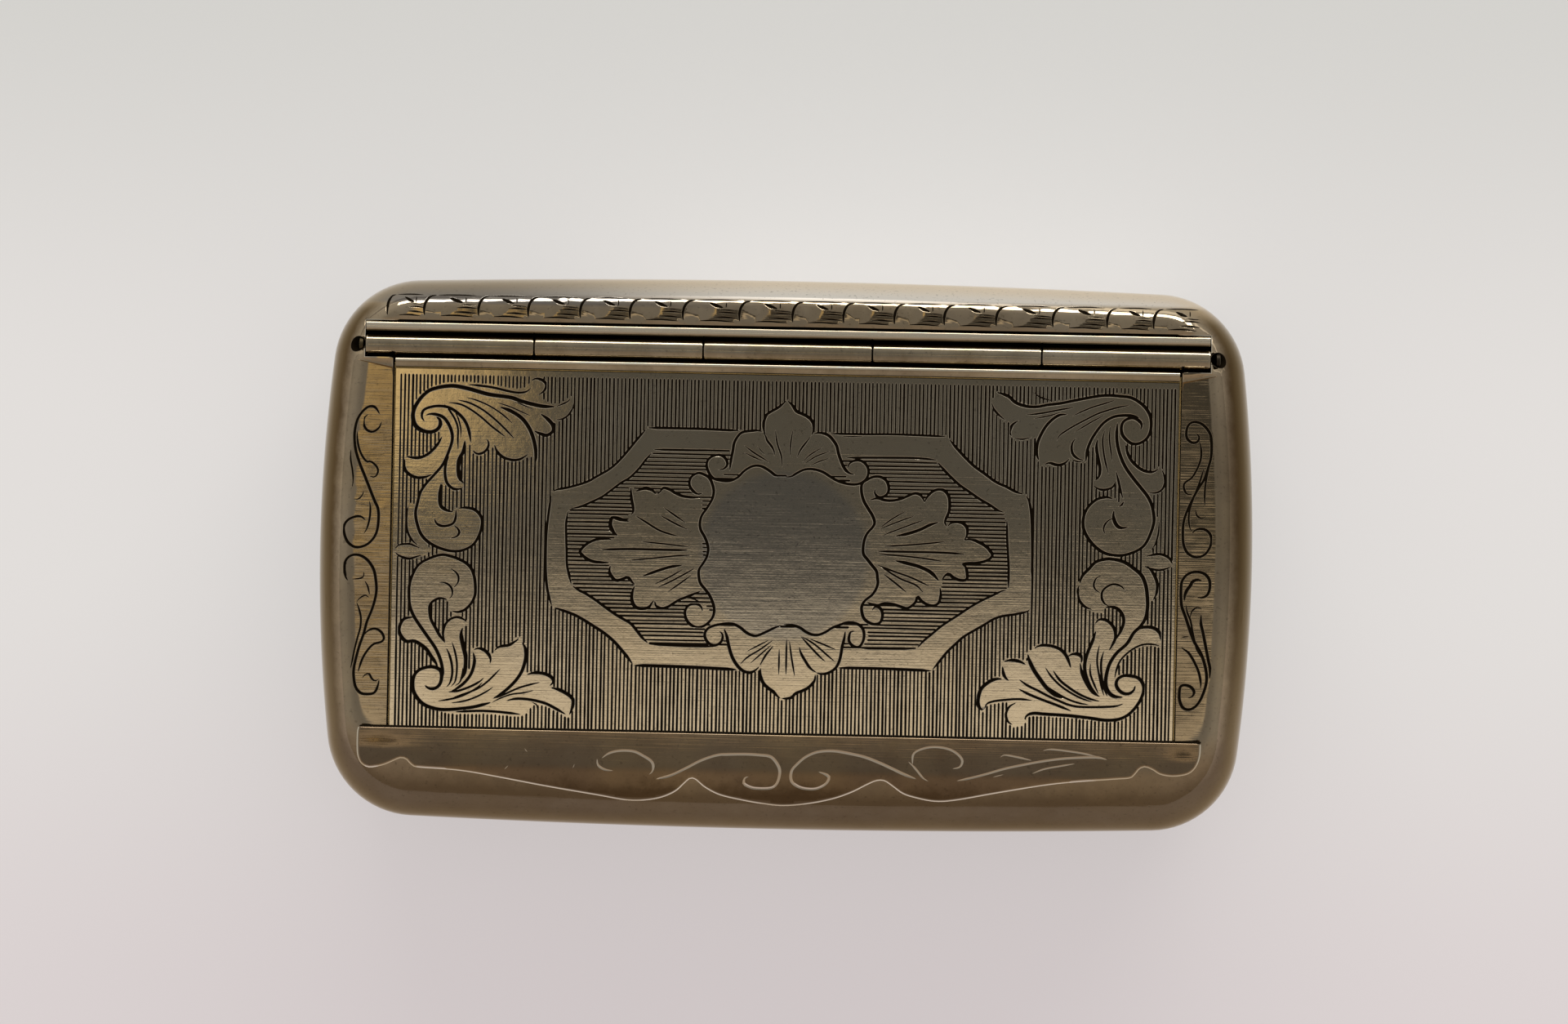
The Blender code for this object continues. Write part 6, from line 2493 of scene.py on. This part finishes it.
BOTTOM_PALMETTE = Motif(cuts=(
    Cut(0.24, ((-2, -10), (-1.7, -9.4), (-1.4, -8.9), (-1, -8.4), (-0.75, -8.05))),
    Cut(0.26, ((3.2, -10.5), (2.6, -10.1), (2.1, -9.4), (1.7, -8.7), (1.55, -8.1))),
    Cut(0.2, ((0.4, -7.4), (0.4, -10.8))),
    Cut(0.18, ((0.65, -7.6), (0.85, -9), (1.2, -10.9))),
    Cut(0.2, ((1.65, -7.2), (2.6, -8.2), (3.5, -9.1), (4, -9.5))),
    Cut(0.18, ((1.7, -7.2), (2.9, -7.9), (4, -8.8), (4.85, -9.5))),
    Cut(0.18, ((2.4, -7.4), (3.7, -7.9), (4.95, -8.4))),
    Cut(0.18, ((-1.15, -7.6), (-2.1, -8.1), (-3.2, -8.7))),
    Cut(0.2, ((-0.8, -7.6), (-2, -8.5), (-3.1, -9.2), (-3.8, -9.9))),
    Cut(0.18, ((-0.9, -8), (-1.9, -8.9), (-2.9, -9.8))),
    Cut(0.18, ((-0.25, -8.3), (-0.25, -10.8))),
), outline=(
    Cut(0.32, (
        (-5.3, -6.6), (-5, -7.4), (-4.85, -8.1), (-4.65, -8.8), (-4.4, -9.4), (-4, -10), (-3.5, -10.45),
        (-2.9, -10.6), (-2.4, -10.4), (-2, -10),
    )),
    Cut(0.32, (
        (-1.9, -10.1), (-1.9, -10.8), (-1.65, -11.5), (-1.2, -11.95), (-0.7, -12.3), (-0.3, -12.7),
        (0, -12.9),
    )),
    Cut(0.34, (
        (0, -12.9), (0.9, -12.8), (1.3, -12.4), (1.9, -12.15), (2.5, -11.8), (3, -11.2), (3.05, -10.6),
    )),
    Cut(0.32, (
        (3.1, -10.5), (3.8, -10.6), (4.4, -10.4), (4.9, -10), (5.2, -9.4), (5.35, -8.7), (5.45, -8),
        (5.6, -7.4), (5.7, -6.6),
    )),
))

LEFT_PALMETTE = Motif(cuts=(
    Cut(0.16, ((-19.5, 0.15), (-18.4, 0.1))),
    Cut(0.16, ((-19.4, -0.1), (-18.4, -0.1))),
    Cut(0.28, ((-16.6, 0.25), (-14, 0.35), (-11, 0.35), (-8.6, 0.35))),
    Cut(0.18, ((-12.9, 1.05), (-11, 0.9), (-8.5, 0.65))),
    Cut(0.22, ((-13.5, 3.4), (-12.5, 2.8), (-11.3, 2.1), (-10.2, 1.75), (-9.5, 1.6))),
    Cut(0.2, ((-11.3, 3.5), (-10, 2.8), (-8.7, 2.2))),
    Cut(0.2, ((-11, 4.2), (-9.8, 3.4), (-8.9, 2.8))),
    Cut(0.2, ((-13.9, -0.65), (-12, -0.45), (-10, -0.2), (-8.4, -0.1))),
    Cut(0.34, ((-12.8, -2.1), (-11.5, -1.6), (-10.3, -1.2), (-9.1, -1))),
    Cut(0.2, ((-11.7, -2.8), (-10.3, -2.1), (-9, -1.3))),
    Cut(0.2, ((-11.4, -3.1), (-10, -2.4), (-8.6, -1.6), (-8, -1.2))),
    Cut(0.2, ((-10.5, -3.5), (-9.4, -2.7), (-8.2, -1.8))),
), outline=(
    Cut(0.32, (
        (-7.6, 5.1), (-8.5, 5.15), (-9.3, 5.25), (-10, 5.55), (-10.4, 5.8), (-11, 5.95), (-11.3, 5.6),
        (-11.6, 5.3),
    )),
    Cut(0.4, ((-11.65, 5.3), (-12, 5.7), (-12.6, 5.9), (-13.1, 5.75), (-13.6, 5.55))),
    Cut(0.32, ((-13.95, 6), (-13.9, 5), (-13.75, 4.3), (-13.7, 3.7), (-14, 3.4))),
    Cut(0.42, (
        (-13.95, 2.85), (-14.5, 2.95), (-15.1, 3.1), (-15.56, 3.2), (-15.75, 2.7), (-15.7, 2.3),
        (-15.4, 1.8), (-15, 1.5),
    )),
    Cut(0.34, (
        (-15.5, 1.2), (-16.5, 1.25), (-17.3, 1.05), (-17.9, 0.7), (-18.3, 0.3), (-18.45, 0), (-18.1, -0.4),
        (-17.5, -0.75), (-16.8, -0.9), (-15.7, -0.9),
    )),
    Cut(0.36, (
        (-15.65, -1.1), (-15.75, -1.6), (-15.65, -2), (-15.2, -2.5), (-14.6, -2.4), (-14.1, -2.2),
        (-13.7, -2.6), (-13.4, -2.9),
    )),
    Cut(0.36, (
        (-13.4, -2.9), (-13.6, -3.4), (-13.7, -4), (-13.55, -4.6), (-13.2, -4.95), (-12.6, -5),
        (-12.1, -4.85), (-11.8, -4.4), (-11.6, -4.2),
    )),
    Cut(0.32, (
        (-11.6, -4.2), (-11.5, -4.7), (-11, -4.95), (-10.4, -4.8), (-9.8, -4.4), (-9.2, -4.05),
        (-8.9, -3.95), (-7.4, -3.3),
    )),
))

RIGHT_PALMETTE = Motif(cuts=(
    Cut(0.38, ((10, 2), (11, 2.2), (12.2, 2.6), (13.2, 3.1), (14, 3.35))),
    Cut(0.18, ((8.8, 2), (10, 2.5), (11.5, 3.1), (12.7, 3.55))),
    Cut(0.18, ((8.6, 2.6), (10, 3.2), (11.8, 3.9))),
    Cut(0.18, ((8.6, 2.7), (9.8, 3.6), (11, 4.3))),
    Cut(0.2, ((9, 1.05), (11, 1.2), (13, 1.4), (14.6, 1.6))),
    Cut(0.26, ((8.4, 0.6), (11, 0.6), (14, 0.6), (16.4, 0.5))),
    Cut(0.2, ((8.5, 0.35), (11, 0.2), (13, 0), (14.4, -0.2))),
    Cut(0.38, ((10, -0.2), (11, -0.4), (12.2, -0.7), (13.3, -1.2), (14.1, -2))),
    Cut(0.2, ((8.4, -0.6), (10, -1.2), (11.5, -1.7), (13.3, -2.5))),
    Cut(0.2, ((8.8, -0.8), (10.5, -1.8), (12, -2.4), (12.7, -3.1))),
    Cut(0.2, ((9, -1.4), (10.2, -2.3), (11.2, -3.1))),
), outline=(
    Cut(0.32, (
        (7.6, 5.2), (8.4, 5.4), (8.9, 5.25), (9.6, 5.2), (10.4, 5.35), (11.1, 5.65), (11.7, 5.9),
        (12.2, 5.8), (12.5, 5.4), (12.6, 5.05),
    )),
    Cut(0.34, (
        (12.6, 5.05), (12.8, 5.5), (13.2, 6), (13.8, 6.3), (14.4, 6.2), (14.8, 5.7), (14.9, 5),
        (14.85, 4.3), (14.6, 3.7), (14.5, 3.3), (14.7, 2.9),
    )),
    Cut(0.34, (
        (14.7, 2.9), (15, 3.25), (15.5, 3.4), (16.1, 3.3), (16.5, 2.9), (16.55, 2.4), (16.4, 1.95),
        (16.2, 1.75),
    )),
    Cut(0.34, (
        (16.2, 1.75), (16.9, 1.85), (17.6, 1.6), (18.3, 1.2), (18.7, 0.75), (18.85, 0.5), (18.7, 0.2),
        (18.2, -0.1), (17.3, -0.3), (16.4, -0.3), (16, -0.4),
    )),
    Cut(0.34, (
        (16, -0.4), (16.4, -0.6), (16.6, -1.2), (16.55, -1.8), (15.9, -1.85), (15.3, -1.6), (14.9, -1.3),
        (14.5, -1.6), (14.3, -2),
    )),
    Cut(0.32, (
        (14.15, -2.5), (14.25, -3.2), (14.1, -3.9), (13.7, -4.2), (13.1, -4.15), (12.5, -3.8),
        (12.15, -3.4), (12, -3.9), (11.6, -4.3), (11.2, -4.5), (10.6, -4.35), (9.9, -4.15), (9.1, -4.1),
        (8.5, -4.3), (7.5, -4),
    )),
))

LEFT_STRIP = Motif(cuts=(
    Cut(0.28, (
        (-36.78, 12.07), (-37.24, 12.72), (-37.8, 12.78), (-38.35, 12.35), (-38.81, 11.61), (-39.04, 10.59),
        (-39.04, 9.67), (-38.91, 8.74), (-38.54, 7.63), (-38.07, 6.52), (-37.61, 5.41), (-37.15, 4.3),
        (-36.81, 3.56), (-36.74, 2.63), (-36.87, 1.52), (-37.24, 0.78), (-37.89, 0.22), (-38.81, 0.04),
        (-39.56, 0.59), (-39.89, 1.7), (-39.56, 2.44), (-38.81, 2.81), (-38.26, 2.78), (-37.89, 2.44),
    )),
    Cut(0.25, (
        (-36.6, 11.5), (-36.87, 10.87), (-37.43, 10.5), (-37.98, 10.69), (-38.26, 11.24), (-38.17, 11.8),
        (-37.8, 12.1),
    )),
    Cut(0.21, (
        (-38.8, 10.6), (-38.8, 9.85), (-38.6, 8.9), (-38.26, 8.2), (-37.89, 7.8), (-37.5, 7.8), (-37, 7.35),
        (-36.87, 6.9), (-37.15, 6.43), (-37.7, 6.5),
    )),
    Cut(0.18, ((-39.37, 8.93), (-39.37, 8), (-39.2, 7.07), (-39.1, 6.15), (-39.2, 5.4))),
    Cut(0.2, ((-39.1, 4.4), (-38.6, 4.4), (-38.26, 4.76), (-38.1, 5.2))),
    Cut(0.21, ((-37.6, 4.3), (-37.5, 3.56), (-37.56, 2.6), (-37.8, 1.7), (-38.1, 1.24))),
    Cut(0.28, (
        (-39.37, -3.06), (-39.65, -2.6), (-39.74, -1.85), (-39.65, -1.2), (-39.19, -0.74), (-38.54, -0.65),
        (-37.89, -0.93), (-37.43, -1.39), (-37.06, -2.04), (-36.87, -2.96), (-36.81, -3.89),
        (-36.96, -4.81), (-37.24, -5.74), (-37.61, -6.67), (-37.89, -7.78), (-38.26, -8.89), (-38.54, -10),
        (-38.72, -10.93), (-38.72, -11.67), (-38.54, -12.59), (-38.07, -13.15), (-37.33, -13.24),
        (-36.78, -13.06), (-36.5, -12.41), (-36.4, -11.85),
    )),
    Cut(0.2, ((-39.1, -2.87), (-38.4, -2.8), (-38, -2.6), (-38, -2.1))),
    Cut(0.21, ((-37.9, -2.96), (-37.6, -3.5), (-37.4, -4.3))),
    Cut(0.21, ((-38.6, -4.9), (-38.26, -4.54), (-37.8, -4.3), (-37.43, -4.54))),
    Cut(0.2, (
        (-38.6, -4.9), (-38.35, -5.56), (-38.17, -6.3), (-38.2, -7.2), (-38.44, -8.15), (-38.7, -9.26),
        (-38.9, -10.37), (-39.04, -11),
    )),
    Cut(0.25, (
        (-37.9, -7.96), (-37.5, -7.5), (-36.87, -7.3), (-36.3, -7.6), (-36.04, -8.15), (-36.3, -8.5),
        (-36.96, -8.7), (-37.5, -9.26), (-37.98, -10.1), (-38.35, -11.3),
    )),
    Cut(0.21, (
        (-36.4, -11.76), (-36.7, -12.04), (-37.06, -11.85), (-37.33, -11.4), (-37.7, -11.5),
        (-37.98, -11.85),
    )),
))

RIGHT_STRIP = Motif(cuts=(
    Cut(0.28, (
        (36.96, 11.89), (37.3, 11.5), (37.15, 11.06), (36.69, 10.96), (36.22, 11.33), (36.13, 11.89),
        (36.3, 12.54), (36.78, 12.85), (37.43, 12.72), (37.98, 12.26), (38.35, 11.6), (38.44, 10.6),
        (38.4, 9.67), (38.17, 8.74), (37.8, 7.63), (37.24, 6.7), (36.69, 5.6), (36.3, 4.67), (36.04, 3.74),
        (36, 2.63), (36.1, 1.7), (36.5, 0.96), (37.24, 0.63), (37.98, 0.87), (38.44, 1.5), (38.6, 2.26),
        (38.35, 2.9), (37.8, 3.2), (37.15, 3.1), (36.8, 2.7),
    )),
    Cut(0.23, (
        (37.3, 11.15), (37.5, 10.4), (37.48, 9.5), (37.15, 8.56), (36.7, 7.8), (36.1, 7.35), (36, 6.9),
        (36.3, 6.33), (36.87, 6.33),
    )),
    Cut(0.21, ((38.4, 10.04), (38.2, 8.74), (37.98, 7.44), (37.9, 6.33), (37.93, 5.2))),
    Cut(0.21, ((37.06, 5.04), (37.24, 4.4), (37.7, 4.15), (38.1, 4.4))),
    Cut(0.21, (
        (37.8, 8.74), (37.43, 7.44), (36.96, 6.15), (36.6, 5.04), (36.5, 4.1), (36.6, 3.37), (36.8, 2.9),
    )),
    Cut(0.3, (
        (37.33, -2.96), (37.89, -3), (38.35, -2.7), (38.54, -2.04), (38.44, -1.3), (37.89, -0.78),
        (37.06, -0.7), (36.4, -1), (36, -1.6), (35.93, -2.4), (35.95, -3.15), (36.05, -3.9), (36.4, -4.8),
        (36.78, -5.9), (37.24, -7.04), (37.8, -7.96), (38.17, -8.9), (38.4, -10), (38.35, -10.9),
        (37.98, -12.04), (37.5, -12.8), (36.87, -13.15), (36.3, -12.96), (36, -12.3), (35.97, -11.67),
        (36.05, -11.1), (36.4, -10.93), (36.96, -11.07), (37.3, -11.5), (37.15, -11.94), (36.7, -12.1),
    )),
    Cut(0.38, (
        (37.89, -1.5), (37.4, -1.4), (36.96, -1.57), (36.78, -1.94), (36.5, -2.3), (36.3, -2.8),
        (36.25, -3.4),
    )),
    Cut(0.2, ((36.4, -3.6), (36.55, -4.4), (36.85, -5.1), (37.1, -6.3), (37.45, -7.6), (37.93, -8.5))),
    Cut(0.23, ((36.8, -4.9), (36.96, -4.26), (37.4, -3.9), (37.9, -4))),
    Cut(0.3, (
        (37.8, -4.44), (37.8, -5.37), (37.98, -6.1), (38.26, -7.4), (38.54, -8.7), (38.7, -9.44),
        (38.67, -10.4),
    )),
    Cut(0.25, (
        (36, -7.5), (36.3, -7.7), (36.78, -8.06), (37.3, -8.9), (37.7, -9.8), (37.89, -10.74),
        (37.85, -11.3),
    )),
    Cut(0.2, ((36, -6.75), (36.3, -6.57), (36.8, -6.57))),
))

THUMB_SCROLLS = Motif(cuts=(
    Cut(0.22, ((-16.5, -18.6), (-16.4, -19.2), (-15.8, -19.6), (-15, -19.7))),
    Cut(0.24, (
        (-16.1, -18.6), (-15.4, -18.1), (-14.4, -17.86), (-13.2, -17.9), (-12.3, -18.3), (-11.6, -18.75),
        (-11.4, -19.2), (-11.5, -19.7), (-11.8, -20),
    )),
    Cut(0.27, (
        (-11.2, -20.4), (-9.8, -20), (-8.4, -19.3), (-7.1, -18.6), (-5.7, -18.1), (-4.6, -18), (-3, -17.95),
        (-1.8, -18), (-0.9, -18.1), (-0.4, -18.5), (0, -19.2), (0, -19.9), (-0.25, -20.6), (-0.8, -21),
        (-2.1, -21.05), (-2.75, -20.9), (-3.2, -20.6), (-3.1, -20.1), (-2.75, -20),
    )),
    Cut(0.27, (
        (3.5, -19.4), (4.1, -19.6), (4.5, -19.9), (4.2, -20.5), (3.4, -20.95), (2.5, -21), (1.7, -20.8),
        (1.1, -20.3), (1.1, -19.4), (1.6, -18.75), (2.4, -18.06), (3.5, -17.6), (4.9, -17.5), (6.3, -17.7),
        (7.7, -18), (9.06, -18.5), (10.2, -19), (11.3, -19.5), (12.4, -19.9),
    )),
    Cut(0.18, ((11.6, -18.3), (12.1, -18.75), (12.5, -19.2), (13, -19.8), (13.5, -20.1))),
    Cut(0.22, (
        (12, -18.6), (12.1, -17.6), (13, -17.1), (14.1, -16.95), (15.2, -17.1), (16, -17.5), (16.5, -18.1),
        (16.3, -18.7), (15.6, -18.9),
    )),
    Cut(0.24, (
        (16, -20), (17.3, -19.7), (18.7, -19.3), (20.3, -18.8), (22, -18.4), (23.7, -18.05), (25.3, -17.8),
        (27, -17.65), (28.7, -17.6), (29.6, -17.8),
    )),
    Cut(0.18, ((19.9, -17.8), (20.3, -17.55), (21.4, -17.7), (22.8, -18))),
    Cut(0.18, ((23.7, -17.1), (24.5, -16.95), (26.2, -17.1), (27.6, -17.3), (28.7, -17.55))),
    Cut(0.17, ((22.8, -19.2), (23.9, -18.75), (25.6, -18.4), (26.7, -18.2))),
    Cut(0.15, ((-23.1, -17.8), (-22.8, -18.2))),
    Cut(0.15, ((-24.9, -19.8), (-24.5, -19.4))),
    Cut(0.15, ((-18.7, -19.6), (-18.5, -19.1))),
    Cut(0.14, ((19.2, -19.6), (20.3, -19.3))),
))


@dataclass(frozen=True)
class WaveBand:
    """The row of overlapping scales along the shoulder behind the hinge."""

    arcs: tuple[float, ...] = (
        -36.2, -32.8, -27.9, -23.4, -18.7, -14.2, -9.4, -4.3, 0.5, 5.1, 9.7, 14.2, 18.9, 24.0, 28.9, 33.1,
        37.4,
    )
    front: float = 21.05
    rear: float = 22.95
    scale: tuple[Cut, ...] = (
        Cut(0.30, ((-0.02, 0.0), (-0.03, 0.35), (0.0, 0.7), (0.08, 0.95), (0.2, 1.02))),
        Cut(0.14, ((0.2, 1.02), (0.6, 1.04), (0.95, 1.02))),
        Cut(0.42, ((0.42, 0.92), (0.55, 0.78), (0.70, 0.66))),
        Cut(0.26, ((0.73, 0.98), (0.74, 0.8), (0.73, 0.62))),
        Cut(0.20, ((0.55, 0.42), (0.75, 0.45), (0.97, 0.40))),
        Cut(0.18, ((0.62, 0.58), (0.80, 0.56), (0.95, 0.55))),
        Cut(0.22, ((0.50, 0.22), (0.70, 0.22), (0.96, 0.17))),
        Cut(0.18, ((0.25, 0.03), (0.55, 0.06), (0.90, 0.0))),
    )

    def motif(self) -> Motif:
        """The band's cuts: for each scale its round end, its top, a bright facet and shading lines."""
        depth = self.rear - self.front
        cuts = []
        for left, right in zip(self.arcs, self.arcs[1:]):
            for cut in self.scale:
                points = ((left + x * (right - left), self.front + y * depth) for x, y in cut.points)
                cuts.append(Cut(cut.width, tuple(points)))
        return Motif(tuple(cuts))


LEAVES = (TOP_LEFT_LEAF, BOTTOM_LEFT_LEAF, TOP_RIGHT_LEAF, BOTTOM_RIGHT_LEAF)
CENTRE = (CARTOUCHE, TOP_PALMETTE, BOTTOM_PALMETTE, LEFT_PALMETTE, RIGHT_PALMETTE)


def lid_engraving() -> Engraving:
    """The lid's engraving: ornaments, with upright hatching outside the band and level inside it."""
    motifs = (OUTER_BAND, INNER_BAND, *CENTRE, *LEAVES)
    strokes = [stroke for motif in motifs for stroke in motif.strokes()]
    ground = rectangle(half=35.1, front=-16.6, rear=15.95)
    outside = (OUTER_BAND, TOP_PALMETTE, BOTTOM_PALMETTE, *LEAVES)
    outer = [area for motif in outside for area in motif.areas()]
    strokes += Hatching(ground, outer, upright=True, seed=11).strokes()
    inner = [area for motif in CENTRE for area in motif.areas()]
    strokes += Hatching(INNER_BAND.loop(), inner, upright=False, seed=12).strokes()
    return Engraving(strokes)


def case_engraving() -> Engraving:
    """The engraving of the strips beside the lid and of the shoulder behind the hinge."""
    motifs = (LEFT_STRIP, RIGHT_STRIP, WaveBand().motif())
    return Engraving([stroke for motif in motifs for stroke in motif.strokes()])


def main() -> None:
    """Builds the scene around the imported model."""
    logging.basicConfig(level=logging.INFO)
    PhotoCamera().place()
    Studio().make()
    finishes = Finishes.make()
    Case(finishes, case_engraving()).make()
    Lid(finishes, lid_engraving(), Engraving(THUMB_SCROLLS.strokes())).make()
    Hinge(finishes).make()


if __name__ == "__main__":
    main()
